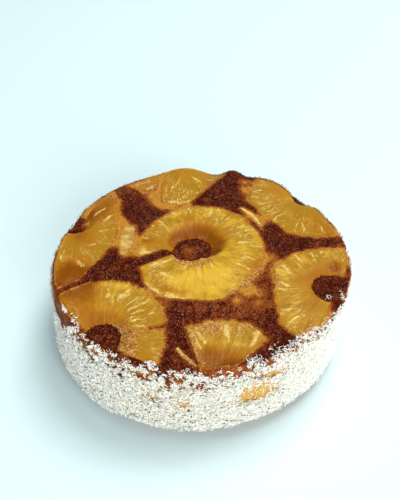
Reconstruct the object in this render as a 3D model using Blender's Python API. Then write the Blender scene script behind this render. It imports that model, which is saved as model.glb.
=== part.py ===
# Pineapple upside down cake: a round sponge turned out of its tin, with cut pineapple
# rings baked into the top and desiccated coconut pressed onto the side.
# Metres, +Z up, standing on z = 0. The front is towards -Y.

import math
import random

import bpy
from mathutils import Vector
from mathutils.geometry import delaunay_2d_cdt

# Driving dimensions of the cake
SEED = 20
CAKE_HEIGHT = 0.0629
TOP_CENTRE = (0.0016, -0.0001)
FOOT_CENTRE = (-0.0027, -0.0009)
TOP_RADIUS = 0.0992
FOOT_RADIUS = 0.1002
BASE_RADIUS = 0.0870
COAT_FOOT = 0.0090
TOP_CORNER = 0.0024

# The top is not level: each wave is x, y, height and spread, from the centre of the top
TOP_WAVES = (
    (-0.013, 0.099, 0.0030, 0.010),
    (0.013, 0.098, -0.0038, 0.008),
    (0.028, 0.096, 0.0034, 0.006),
    (0.038, 0.091, -0.0016, 0.005),
    (0.060, 0.080, 0.0022, 0.010),
    (0.079, 0.061, -0.0024, 0.008),
    (-0.060, 0.060, 0.0008, 0.014),
    (0.099, 0.014, 0.0008, 0.008),
    (-0.020, -0.095, -0.0012, 0.012),
    (0.012, -0.084, -0.0012, 0.016),
    (0.072, -0.068, -0.0010, 0.012),
)

# Dips and folds that only the crumb has, in the same terms
CRUMB_WAVES = (
    (-0.014, -0.076, -0.0016, 0.006),
    (-0.006, -0.093, -0.0012, 0.006),
    (0.040, -0.078, -0.0016, 0.006),
    (0.026, 0.080, 0.0014, 0.006),
    (0.034, 0.066, -0.0014, 0.004),
    (0.049, 0.020, 0.0008, 0.005),
    (-0.050, 0.062, 0.0008, 0.008),
)

# Relief of the crumb and of the coconut coat
CRUMB_SINK = 0.0008
CRUMB_ROUGHNESS = 0.0007
CRUMB_SPACING = 0.0044
HOLE_EDGE = 0.0070
ROW_PITCH = 0.87
COAT_ROUGHNESS = 0.0007
SIDE_STEPS = 144
COAT_ROWS = 10

# Pineapple pieces
PIECE_DEPTH = 0.0090
RIM_RADIUS = 0.0962
EDGE_ROUND = 0.0012
CLEARANCE = 0.0003
PIECE_PROUD = 0.0004
STEP_ANGLE = math.radians(11.0)

# Coconut flakes fused to the coat
FLAKE_COUNT = 92
FLAKE_LENGTH = (0.0040, 0.0068)
FLAKE_WIDTH = 0.0014
FLAKE_THICKNESS = 0.0008
FLAKE_TILT = (8.0, 24.0)
FLAKE_BEND = (0.0003, 0.0008)
FLAKE_MARGIN = 0.0040
GOLDEN_ANGLE = math.pi * (3.0 - math.sqrt(5.0))
EVEN_STEP = 0.7548777

CRUMB_COLOUR = (0.19, 0.045, 0.013, 1.0)
PINEAPPLE_COLOUR = (0.66, 0.37, 0.05, 1.0)
PALE_COLOUR = (0.70, 0.48, 0.13, 1.0)


def ring(hole, hole_radius, middle, reach, span, cuts=(), dent=0.004,
         slope=(0.005, 0.003, 0.0), bulge=(0.0, 0.0, 1.0)):
    """One pineapple piece, in polar form around the hole of the ring that it was cut from.

    middle and reach are the outer ellipse, span the first and last angle in degrees, and each
    cut is a knife line x, y to x, y with the piece on its left. dent is how far the fruit
    falls towards the hole, over a width of slope[0] + slope[1] sin + slope[2] cos. bulge is
    the angle, height and half width in degrees of a swelling of the outer edge.
    """
    return {
        "hole": hole,
        "hole_radius": hole_radius,
        "middle": middle,
        "reach": reach,
        "span": (math.radians(span[0]), math.radians(span[1])),
        "cuts": cuts,
        "dent": dent,
        "slope": slope,
        "bulge": (math.radians(bulge[0]), bulge[1], math.radians(bulge[2])),
    }


PIECES = {
    "ring_centre": ring(
        (-0.005, 0.0045), 0.0130, (0.0005, 0.0015), (0.0430, 0.0485), (-157.5, 195.0),
        dent=0.0042, slope=(0.0060, 0.0055, 0.0025), bulge=(-123.0, 0.0034, 17.0)),
    "ring_left": ring(
        (-0.089, 0.033), 0.0090, (-0.089, 0.020), (0.060, 0.062), (-108.0, -3.0),
        cuts=((-0.0575, 0.010, -0.0570, 0.033), (-0.078, -0.026, -0.057, 0.013),
              (-0.095, -0.036, -0.076, -0.024)), dent=0.0022),
    "ring_left_top": ring(
        (-0.089, 0.033), 0.0090, (-0.089, 0.033), (0.052, 0.052), (1.5, 60.0),
        cuts=((-0.0575, 0.030, -0.0585, 0.058), (-0.0585, 0.058, -0.0680, 0.076)), dent=0.0022),
    "ring_front_left": ring(
        (-0.057, -0.073), 0.0120, (-0.060, -0.070), (0.0395, 0.0430), (13.5, 151.0),
        dent=0.0020, slope=(0.0050, 0.0045, 0.0)),
    "ring_front_left_end": ring(
        (-0.057, -0.073), 0.0120, (-0.060, -0.070), (0.0400, 0.0430), (-43.0, 9.5),
        cuts=((-0.0210, -0.096, -0.0220, -0.060),), dent=0.0012),
    "ring_front": ring(
        (0.0030, -0.1105), 0.0095, (0.012, -0.105), (0.0440, 0.0435), (44.6, 106.0),
        cuts=((0.0390, -0.078, 0.0300, -0.066),), dent=0.0015),
    "ring_right": ring(
        (0.082, -0.036), 0.0120, (0.084, -0.042), (0.046, 0.042), (46.0, 255.0),
        cuts=((0.0460, -0.010, 0.0455, -0.072),), dent=0.0012, slope=(0.0050, 0.0035, 0.0)),
    "ring_back_right": ring(
        (0.082, 0.062), 0.0110, (0.082, 0.058), (0.0445, 0.0465), (149.5, 284.0),
        cuts=((0.0430, 0.043, 0.0635, 0.012),), dent=0.0020),
    "ring_back": ring(
        (-0.010, 0.108), 0.0090, (-0.012, 0.095), (0.0380, 0.0415), (-137.0, -27.5),
        cuts=((-0.006, 0.056, 0.024, 0.095), (-0.0285, 0.090, -0.0285, 0.052)), dent=0.0),
    "ring_back_left": ring(
        (-0.030, 0.060), 0.0130, (-0.030, 0.060), (0.060, 0.060), (92.5, 146.0), dent=0.0010),
}

# The pale sliver beside the left ring is a thin crescent around that ring's hole
SLIVER = {
    "hole": (-0.089, 0.033),
    "span": (math.radians(-45.0), math.radians(-6.0)),
    "near": 0.0400,
    "far": 0.0515,
    "half_width": (0.0008, 0.0040),
    "swell": (0.10, 0.72),
}


def smooth_step(low, high, value):
    """0 below low, 1 above high and an S curve between them."""
    share = min(1.0, max(0.0, (value - low) / (high - low)))
    return share * share * (3.0 - 2.0 * share)


def waves(table, x, y):
    """Sum of round bell shapes, each height * exp(-distance^2 / (2 spread^2))."""
    total = 0.0
    for wave_x, wave_y, height, spread in table:
        square = (x - wave_x) ** 2 + (y - wave_y) ** 2
        total += height * math.exp(-square / (2.0 * spread * spread))
    return total


def lie(x, y):
    """Height of the cake's top at a place, without the grain of the crumb."""
    return CAKE_HEIGHT + waves(TOP_WAVES, x, y)


def crumb_height(x, y):
    """The crumb lies a little below the fruit and falls away in the holes of the rings."""
    fall = 0.0
    for piece in PIECES.values():
        if piece["dent"] > 0.0:
            away = math.dist(piece["hole"], (x, y))
            edge = piece["hole_radius"]
            fall = max(fall, piece["dent"] * (1.0 - smooth_step(edge, edge + HOLE_EDGE, away)))
    return lie(x, y) - CRUMB_SINK - fall + waves(CRUMB_WAVES, x, y)


def out_of_round(angle):
    """The tin was not quite round: small second and third harmonics of the radius."""
    second = 0.0002 * math.cos(2.0 * angle) - 0.0003 * math.sin(2.0 * angle)
    third = 0.0004 * math.cos(3.0 * angle) - 0.0006 * math.sin(3.0 * angle)
    return second + third


def lean(z):
    """Centre of the cake at height z: it leans a little, as it slid when it was turned out."""
    share = z / CAKE_HEIGHT
    x = FOOT_CENTRE[0] + (TOP_CENTRE[0] - FOOT_CENTRE[0]) * share
    y = FOOT_CENTRE[1] + (TOP_CENTRE[1] - FOOT_CENTRE[1]) * share
    return x, y


def wall_radius(z):
    """Radius of the coated wall at height z."""
    return FOOT_RADIUS + (TOP_RADIUS - FOOT_RADIUS) * z / CAKE_HEIGHT


def circle_crossings(start, angle, centre, reach):
    """Distances along a ray at which it meets an ellipse, or None where it misses it."""
    ray = (math.cos(angle) / reach[0], math.sin(angle) / reach[1])
    off = ((start[0] - centre[0]) / reach[0], (start[1] - centre[1]) / reach[1])
    a = ray[0] ** 2 + ray[1] ** 2
    b = ray[0] * off[0] + ray[1] * off[1]
    c = off[0] ** 2 + off[1] ** 2 - 1.0
    under = b * b - a * c
    if under <= 0.0:
        return None
    root = math.sqrt(under)
    return (-b - root) / a, (-b + root) / a


def cut_distance(start, angle, cut):
    """Distance along a ray to a knife line that has the piece on its left."""
    x1, y1, x2, y2 = cut
    normal = (y2 - y1, x1 - x2)
    slant = math.cos(angle) * normal[0] + math.sin(angle) * normal[1]
    if slant <= 1e-9:
        return math.inf
    return ((x1 - start[0]) * normal[0] + (y1 - start[1]) * normal[1]) / slant


def piece_reach(piece, angle):
    """Inner and outer radius of a piece at an angle around its hole."""
    hole = piece["hole"]
    inner = piece["hole_radius"]
    outer = circle_crossings(hole, angle, piece["middle"], piece["reach"])[1]
    at, height, spread = piece["bulge"]
    outer += height * math.exp(-((angle - at) / spread) ** 2)
    rim = circle_crossings(hole, angle, (0.0, 0.0), (RIM_RADIUS, RIM_RADIUS))
    inner = max(inner, rim[0])
    outer = min(outer, rim[1])
    for cut in piece["cuts"]:
        outer = min(outer, cut_distance(hole, angle, cut))
    return inner, outer


def sliver_reach(angle):
    """Inner and outer radius of the pale sliver: a crescent that narrows to its lower tip."""
    first, last = SLIVER["span"]
    share = (angle - first) / (last - first)
    middle = SLIVER["near"] + (SLIVER["far"] - SLIVER["near"]) * (1.0 - share) ** 2
    low, more = SLIVER["half_width"]
    start, rise = SLIVER["swell"]
    half = low + more * math.sin(math.pi * (start + rise * share))
    return middle - half, middle + half


def inside_piece(x, y, margin):
    """Whether a place on the top lies in a piece, at least a margin away from its edges."""
    for piece in PIECES.values():
        dx = x - piece["hole"][0]
        dy = y - piece["hole"][1]
        away = math.hypot(dx, dy)
        turn = margin / max(away, margin)
        first, last = piece["span"]
        angle = (math.atan2(dy, dx) - first) % math.tau + first
        if first + turn < angle < last - turn:
            inner, outer = piece_reach(piece, angle)
            if inner + margin < away < outer - margin:
                return True
    return False


def new_object(name, vertices, faces, material):
    """A mesh object from vertices in metres, measured from the centre of the top."""
    mesh = bpy.data.meshes.new(name)
    mesh.from_pydata(vertices, [], faces)
    mesh.materials.append(material)
    made = bpy.data.objects.new(name, mesh)
    bpy.context.scene.collection.objects.link(made)
    return made


def new_material(name, colour, roughness):
    """A plain Principled material."""
    made = bpy.data.materials.new(name)
    made.use_nodes = True
    shader = made.node_tree.nodes["Principled BSDF"]
    shader.inputs["Base Color"].default_value = colour
    shader.inputs["Roughness"].default_value = roughness
    made.diffuse_color = colour
    return made


def span_angles(first, last):
    """Even steps of about STEP_ANGLE from the first angle to the last."""
    steps = max(4, round((last - first) / STEP_ANGLE))
    return [first + (last - first) * i / steps for i in range(steps + 1)]


def strip_faces(stations, corners):
    """Faces of a closed strip: quads between stations and one flat end cap at each end."""
    faces = []
    for i in range(stations - 1):
        for j in range(corners):
            k = (j + 1) % corners
            a = i * corners
            b = a + corners
            faces.append((a + j, b + j, b + k, a + k))
    faces.append(tuple(range(corners)))
    last = (stations - 1) * corners
    faces.append(tuple(last + j for j in reversed(range(corners))))
    return faces


def fruit_section(inner, outer, slope, dent):
    """Section of a piece as pairs of radius and drop below the top, None at the bottom."""
    width = outer - inner
    soft = min(EDGE_ROUND, 0.2 * width)
    fall = min(slope, 0.5 * width)
    return (
        (inner, None),
        (inner, dent + EDGE_ROUND),
        (inner + soft, dent + 0.2 * EDGE_ROUND),
        (inner + max(0.5 * fall, 1.6 * soft), 0.45 * dent),
        (inner + max(fall, 0.35 * width), 0.0),
        (outer - 0.25 * (width - fall), -PIECE_PROUD),
        (outer - soft, 0.2 * EDGE_ROUND),
        (outer, EDGE_ROUND),
        (outer, None),
    )


def place(x, y, z):
    """From the top's own coordinates to the cake's."""
    return x + TOP_CENTRE[0], y + TOP_CENTRE[1], z


def fruit_piece(name, piece, reach, material):
    """The solid of one piece: its section carried round the hole."""
    angles = span_angles(*piece["span"])
    hole = piece["hole"]
    bottom = CAKE_HEIGHT - PIECE_DEPTH
    vertices = []
    for angle in angles:
        inner, outer = reach(angle)
        flat, rise, side = piece.get("slope", (0.004, 0.0, 0.0))
        slope = max(0.001, flat + rise * math.sin(angle) + side * math.cos(angle))
        section = fruit_section(inner, outer, slope, piece.get("dent", 0.0))
        for radius, drop in section:
            x = hole[0] + radius * math.cos(angle)
            y = hole[1] + radius * math.sin(angle)
            z = bottom if drop is None else lie(x, y) - drop
            vertices.append(place(x, y, z))
    corners = len(vertices) // len(angles)
    return new_object(name, vertices, strip_faces(len(angles), corners), material)


def pocket_cutter(name, piece, reach, material):
    """The piece's outline grown by the clearance, from just below it to above the cake."""
    first, last = piece["span"]
    angles = span_angles(first, last)
    hole = piece["hole"]
    low = CAKE_HEIGHT - PIECE_DEPTH - CLEARANCE
    high = CAKE_HEIGHT + 0.012
    vertices = []
    for i, angle in enumerate(angles):
        inner, outer = reach(angle)
        aside = 0.0
        if i == 0:
            aside = -CLEARANCE
        if i == len(angles) - 1:
            aside = CLEARANCE
        for radius, z in ((inner - CLEARANCE, low), (inner - CLEARANCE, high),
                          (outer + CLEARANCE, high), (outer + CLEARANCE, low)):
            x = hole[0] + radius * math.cos(angle) - aside * math.sin(angle)
            y = hole[1] + radius * math.sin(angle) + aside * math.cos(angle)
            vertices.append(place(x, y, z))
    cutter = new_object(name, vertices, strip_faces(len(angles), 4), material)
    cutter.hide_render = True
    cutter.display_type = "WIRE"
    return cutter


def side_profile():
    """Rows of the side from the flat base to the top's edge: bare foot, then the coat.

    Each row is the radius offset from the wall, the height as a share of the rim's height,
    and the share of the coat's roughness.
    """
    foot = COAT_FOOT / CAKE_HEIGHT
    rows = [
        (BASE_RADIUS - FOOT_RADIUS, 0.0, 0.0),
        (-0.0072, 0.12 * foot, 0.2),
        (-0.0040, 0.45 * foot, 0.3),
        (-0.0021, 0.86 * foot, 0.3),
        (-0.0006, 1.04 * foot, 1.0),
    ]
    last = 1.0 - TOP_CORNER / CAKE_HEIGHT
    for row in range(COAT_ROWS):
        share = (row + 1.0) / COAT_ROWS
        rows.append((0.0, 1.04 * foot + (last - 1.04 * foot) * share, 1.0))
    rows.append((-0.35 * TOP_CORNER, 1.0 - 0.3 * TOP_CORNER / CAKE_HEIGHT, 0.6))
    rows.append((-TOP_CORNER, 1.0, 0.3))
    return rows


def side_rows(rng):
    """Vertices of the side, row by row, with bumps of the size of the coconut."""
    vertices = []
    for offset, share, rough in side_profile():
        for step in range(SIDE_STEPS):
            angle = math.tau * (step + 0.5 * rough * rng.uniform(-0.6, 0.6)) / SIDE_STEPS
            rim_x = TOP_RADIUS * math.cos(angle)
            rim_y = TOP_RADIUS * math.sin(angle)
            rim = min(crumb_height(rim_x, rim_y), lie(rim_x, rim_y))
            z = share * rim
            radius = wall_radius(z) + out_of_round(angle) + offset
            radius += rough * rng.uniform(-COAT_ROUGHNESS, COAT_ROUGHNESS)
            centre = lean(z)
            x = centre[0] + radius * math.cos(angle)
            y = centre[1] + radius * math.sin(angle)
            vertices.append((x, y, z))
    return vertices


def crumb_points(rng):
    """A jittered lattice over the crumb, left out under the fruit."""
    points = []
    rows = int(2.0 * TOP_RADIUS / (CRUMB_SPACING * ROW_PITCH)) + 1
    for row in range(rows):
        y = -TOP_RADIUS + row * CRUMB_SPACING * ROW_PITCH
        for column in range(rows):
            x = -TOP_RADIUS + (column + 0.5 * (row % 2)) * CRUMB_SPACING
            px = x + rng.uniform(-0.25, 0.25) * CRUMB_SPACING
            py = y + rng.uniform(-0.25, 0.25) * CRUMB_SPACING
            inside = math.hypot(px, py) < TOP_RADIUS - TOP_CORNER - 0.5 * CRUMB_SPACING
            if inside and not inside_piece(px, py, 0.6 * CRUMB_SPACING):
                points.append((px, py))
    return points


def sponge_body(rng, material):
    """The whole sponge: flat base, side rows and the grainy top as one closed mesh."""
    vertices = side_rows(rng)
    rows = len(vertices) // SIDE_STEPS
    faces = []
    for row in range(rows - 1):
        for step in range(SIDE_STEPS):
            a = row * SIDE_STEPS + step
            b = row * SIDE_STEPS + (step + 1) % SIDE_STEPS
            faces.append((a, b, b + SIDE_STEPS, a + SIDE_STEPS))
    faces.append(tuple(reversed(range(SIDE_STEPS))))
    edge = (rows - 1) * SIDE_STEPS
    flat = [Vector(vertices[edge + step][:2]) for step in range(SIDE_STEPS)]
    for x, y in crumb_points(rng):
        z = crumb_height(x, y) + rng.uniform(-CRUMB_ROUGHNESS, CRUMB_ROUGHNESS)
        vertices.append(place(x, y, z))
        flat.append(Vector(vertices[-1][:2]))
    outline = [tuple(range(SIDE_STEPS))]
    result = delaunay_2d_cdt(flat, [], outline, 1, 1e-7)
    origin = [sources[0] for sources in result[3]]
    for triangle in result[2]:
        faces.append(tuple(edge + origin[corner] for corner in triangle))
    return new_object("sponge", vertices, faces, material)


def flake(rng, middle, outward, along, length):
    """A thin curved strip of coconut that lies along the coat, one end standing proud."""
    across = outward.cross(along).normalized()
    tilt = math.radians(rng.uniform(*FLAKE_TILT))
    axis = (along * math.cos(tilt) + outward * math.sin(tilt)).normalized()
    up = across.cross(axis).normalized()
    if up.dot(outward) < 0.0:
        up = -up
        across = -across
    bend = rng.uniform(*FLAKE_BEND)
    vertices = []
    for station in (-0.5, 0.0, 0.5):
        arch = bend * (1.0 - 4.0 * station * station)
        spine = middle + axis * (station * length) + up * arch
        half = 0.5 * FLAKE_WIDTH * (1.0 - 0.5 * abs(station))
        for side, lift in ((-1, -1), (1, -1), (1, 1), (-1, 1)):
            corner = spine + across * (side * half) + up * (lift * 0.5 * FLAKE_THICKNESS)
            vertices.append(tuple(corner))
    return vertices


def flake_collection(rng, material):
    """Flakes spread evenly round the side by the golden angle, the longest ones first."""
    group = bpy.data.collections.new("coconut_flakes")
    low = COAT_FOOT + FLAKE_MARGIN
    high = CAKE_HEIGHT - TOP_CORNER - FLAKE_MARGIN
    for number in range(FLAKE_COUNT):
        share = number / (FLAKE_COUNT - 1.0)
        length = FLAKE_LENGTH[1] + (FLAKE_LENGTH[0] - FLAKE_LENGTH[1]) * share
        angle = number * GOLDEN_ANGLE + rng.uniform(-0.05, 0.05)
        z = low + (high - low) * ((number * EVEN_STEP) % 1.0)
        outward = Vector((math.cos(angle), math.sin(angle), 0.0))
        centre = lean(z)
        middle = Vector((centre[0], centre[1], z))
        middle += outward * (wall_radius(z) + out_of_round(angle))
        turn = rng.uniform(0.0, math.tau)
        level = Vector((-math.sin(angle), math.cos(angle), 0.0))
        along = level * math.cos(turn) + Vector((0.0, 0.0, 1.0)) * math.sin(turn)
        vertices = flake(rng, middle, outward, along, length)
        made = new_object(f"flake_{number}", vertices, strip_faces(3, 4), material)
        turn_outward(made)
        bpy.context.scene.collection.objects.unlink(made)
        group.objects.link(made)
    bpy.context.scene.collection.children.link(group)
    return group


def signed_volume(mesh):
    """Six times the volume inside a closed mesh, negative where its faces point inwards."""
    total = 0.0
    for face in mesh.polygons:
        corners = [mesh.vertices[i].co for i in face.vertices]
        for i in range(1, len(corners) - 1):
            total += corners[0].dot(corners[i].cross(corners[i + 1]))
    return total


def turn_outward(made):
    """Faces of a closed mesh point out, as the Boolean needs."""
    if signed_volume(made.data) < 0.0:
        made.data.flip_normals()


def join_group(body, group, operation):
    """One applied Boolean with a whole collection, whose objects are then removed."""
    modifier = body.modifiers.new(operation.lower(), "BOOLEAN")
    modifier.operand_type = "COLLECTION"
    modifier.collection = group
    modifier.operation = operation
    bpy.context.view_layer.update()
    evaluated = body.evaluated_get(bpy.context.evaluated_depsgraph_get())
    result = bpy.data.meshes.new_from_object(evaluated)
    body.modifiers.clear()
    body.data = result
    for helper in list(group.objects):
        bpy.data.objects.remove(helper, do_unlink=True)
    bpy.data.collections.remove(group)


def main():
    for old in list(bpy.data.objects):
        bpy.data.objects.remove(old, do_unlink=True)
    rng = random.Random(SEED)
    crumb = new_material("crumb", CRUMB_COLOUR, 0.7)
    sponge = sponge_body(rng, crumb)
    turn_outward(sponge)

    pockets = bpy.data.collections.new("pockets")
    bpy.context.scene.collection.children.link(pockets)
    for name, piece in list(PIECES.items()) + [("sliver_left", SLIVER)]:
        sliver = piece is SLIVER
        reach = sliver_reach if sliver else lambda angle, piece=piece: piece_reach(piece, angle)
        colour = PALE_COLOUR if sliver else PINEAPPLE_COLOUR
        made = fruit_piece(name, piece, reach, new_material(name, colour, 0.35))
        turn_outward(made)
        made.data.shade_smooth()
        made.data.set_sharp_from_angle(angle=math.radians(40.0))
        cutter = pocket_cutter("pocket_" + name, piece, reach, crumb)
        turn_outward(cutter)
        bpy.context.scene.collection.objects.unlink(cutter)
        pockets.objects.link(cutter)
    join_group(sponge, pockets, "DIFFERENCE")
    join_group(sponge, flake_collection(rng, crumb), "UNION")


main()
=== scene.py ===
# %% [markdown]
# # A pineapple upside down cake
# The cake was baked upside down: rings of pineapple and brown sugar at the bottom of the
# tin, batter on top, and then it was turned out. So the fruit lies in the top, the crumb
# round it is dark with caramel, and the side is coated with desiccated coconut.
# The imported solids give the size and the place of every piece; this file gives the looks.

# %% Load the frame
import math

import bpy
import numpy as np
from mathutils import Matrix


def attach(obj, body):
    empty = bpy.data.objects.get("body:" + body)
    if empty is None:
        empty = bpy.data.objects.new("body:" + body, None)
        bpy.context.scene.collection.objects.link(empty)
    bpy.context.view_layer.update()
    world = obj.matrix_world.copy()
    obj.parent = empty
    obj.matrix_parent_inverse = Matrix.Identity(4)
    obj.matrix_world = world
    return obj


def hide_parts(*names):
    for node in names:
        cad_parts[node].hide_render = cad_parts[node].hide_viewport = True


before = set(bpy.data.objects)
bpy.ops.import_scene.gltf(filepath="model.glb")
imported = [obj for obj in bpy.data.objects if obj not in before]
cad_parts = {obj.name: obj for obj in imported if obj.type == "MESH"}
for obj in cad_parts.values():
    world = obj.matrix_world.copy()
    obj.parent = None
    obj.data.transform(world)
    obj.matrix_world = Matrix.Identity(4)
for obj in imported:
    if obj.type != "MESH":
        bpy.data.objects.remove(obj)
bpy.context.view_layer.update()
print("nodes:", sorted(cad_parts))

# %% [markdown]
# ## The main sizes
# They repeat the cake's driving dimensions, in metres. Places on the top are measured from
# the top's own centre, which is a few millimetres to the right of the foot's: the cake
# slid a little when it was turned out.

# %% Sizes of the cake
CAKE_HEIGHT = 0.0629
TOP_CENTRE = (0.0016, -0.0001)
FOOT_CENTRE = (-0.0027, -0.0009)
TOP_RADIUS = 0.0992
FOOT_RADIUS = 0.1002
BASE_RADIUS = 0.0870
COAT_FOOT = 0.0090
TOP_CORNER = 0.0024
RIM_RADIUS = 0.0962
CRUMB_SINK = 0.0008
HOLE_EDGE = 0.0070
PIECE_DEPTH = 0.0090

# Swellings and dips of the top and of its crumb: x, y, height and spread in metres
TOP_WAVES = (
    (-0.013, 0.099, 0.0030, 0.010), (0.013, 0.098, -0.0038, 0.008),
    (0.028, 0.096, 0.0034, 0.006), (0.038, 0.091, -0.0016, 0.005),
    (0.060, 0.080, 0.0022, 0.010), (0.079, 0.061, -0.0024, 0.008),
    (-0.060, 0.060, 0.0008, 0.014), (0.099, 0.014, 0.0008, 0.008),
    (-0.020, -0.095, -0.0012, 0.012), (0.012, -0.084, -0.0012, 0.016),
    (0.072, -0.068, -0.0010, 0.012),
)
CRUMB_WAVES = (
    (-0.014, -0.076, -0.0016, 0.006), (-0.006, -0.093, -0.0012, 0.006),
    (0.040, -0.078, -0.0016, 0.006), (0.026, 0.080, 0.0014, 0.006),
    (0.034, 0.066, -0.0014, 0.004), (0.049, 0.020, 0.0008, 0.005),
    (-0.050, 0.062, 0.0008, 0.008),
)
print("cake:", round(2000 * TOP_RADIUS), "mm across,", round(1000 * CAKE_HEIGHT), "mm high")

# %% [markdown]
# ## Uneven on purpose
# Nothing on a cake is smooth, so every surface here needs noise. Value noise blends random
# numbers on a lattice, and cell noise is the distance to the nearest of scattered points,
# which gives rounded grains with creases between them. Both work on whole arrays.

# %% Noise on whole arrays
LATTICE = 64


def soft_noise(x, y, size, seed):
    """Value noise from -1 to 1: random numbers on a lattice, blended by an S curve."""
    table = np.random.default_rng(seed).uniform(-1.0, 1.0, (LATTICE, LATTICE))
    u, v = (x * 0.8 - y * 0.6) / size, (x * 0.6 + y * 0.8) / size
    i, j = np.floor(u).astype(int), np.floor(v).astype(int)
    fu, fv = u - i, v - j
    fu, fv = fu * fu * (3.0 - 2.0 * fu), fv * fv * (3.0 - 2.0 * fv)
    i0, i1, j0, j1 = i % LATTICE, (i + 1) % LATTICE, j % LATTICE, (j + 1) % LATTICE
    low = table[i0, j0] * (1.0 - fu) + table[i1, j0] * fu
    high = table[i0, j1] * (1.0 - fu) + table[i1, j1] * fu
    return low * (1.0 - fv) + high * fv


def grains(x, y, size, seed):
    """Cell noise from 0 in the creases to 1 on top of a grain: one random point a square."""
    table = np.random.default_rng(seed).random((2, LATTICE, LATTICE))
    u, v = x / size, y / size
    i, j = np.floor(u).astype(int), np.floor(v).astype(int)
    nearest = np.full(np.shape(u), 9.0)
    for di in (-1, 0, 1):
        for dj in (-1, 0, 1):
            a, b = (i + di) % LATTICE, (j + dj) % LATTICE
            du = i + di + table[0][a, b] - u
            dv = j + dj + table[1][a, b] - v
            nearest = np.minimum(nearest, du * du + dv * dv)
    return np.clip(1.0 - nearest, 0.0, 1.0)


def smooth_step(low, high, value):
    """0 below low, 1 above high and an S curve between them."""
    share = np.clip((value - low) / (high - low), 0.0, 1.0)
    return share * share * (3.0 - 2.0 * share)


# %% [markdown]
# ## The form of the cake
# The top isn't flat: bells of a few millimetres swell it here and dip it there. The tin
# wasn't quite round and the cake leans, so the middle and the radius of its wall change
# with the height.

# %% Form of the cake


def waves(table, x, y):
    """Sum of round bell shapes, each height * exp(-distance^2 / (2 spread^2))."""
    total = np.zeros(np.shape(x))
    for wave_x, wave_y, height, spread in table:
        square = (x - wave_x) ** 2 + (y - wave_y) ** 2
        total = total + height * np.exp(-square / (2.0 * spread * spread))
    return total


def lie(x, y):
    """Height of the cake's top, without the grain of the crumb."""
    return CAKE_HEIGHT + waves(TOP_WAVES, x, y)


def out_of_round(angle):
    """The tin was not quite round: second and third harmonics of the radius."""
    second = 0.0002 * np.cos(2.0 * angle) - 0.0003 * np.sin(2.0 * angle)
    return second + 0.0004 * np.cos(3.0 * angle) - 0.0006 * np.sin(3.0 * angle)


def lean(z):
    """Centre of the cake at height z, on a line from the foot's centre to the top's."""
    share = z / CAKE_HEIGHT
    x = FOOT_CENTRE[0] + (TOP_CENTRE[0] - FOOT_CENTRE[0]) * share
    y = FOOT_CENTRE[1] + (TOP_CENTRE[1] - FOOT_CENTRE[1]) * share
    return x, y


def wall_radius(z):
    """Radius of the coated wall at height z."""
    return FOOT_RADIUS + (TOP_RADIUS - FOOT_RADIUS) * z / CAKE_HEIGHT


# %% [markdown]
# ## The pieces of fruit
# Every piece was cut from a ring, so each one is easiest to describe in polar form round
# the hole of its ring: an inner and an outer radius at each angle. The outer radius is the
# nearest of the ring's own edge, the tin and the straight knife cuts.

# %% The table of the pieces


def ring(hole, hole_radius, middle, reach, span, cuts=(), dent=0.004,
         slope=(0.005, 0.003, 0.0), bulge=(0.0, 0.0, 1.0), gap=(0.0, 0.0),
         inward=(0.0, 0.0, 1.0)):
    """A piece in polar form: outer ellipse, first and last angle in degrees, knife cuts,
    the fall towards the hole and its width, a swelling of the outer edge, how far its first
    and its last end stand back at the hole, and a swelling of the inner edge into the hole.
    A swelling is an angle in degrees, a height and a spread in degrees."""
    return {
        "hole": hole,
        "hole_radius": hole_radius,
        "middle": middle,
        "reach": reach,
        "span": (math.radians(span[0]), math.radians(span[1])),
        "cuts": cuts,
        "dent": dent,
        "slope": slope,
        "bulge": (math.radians(bulge[0]), bulge[1], math.radians(bulge[2])),
        "gap": gap,
        "inward": (math.radians(inward[0]), inward[1], math.radians(inward[2])),
    }


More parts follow.
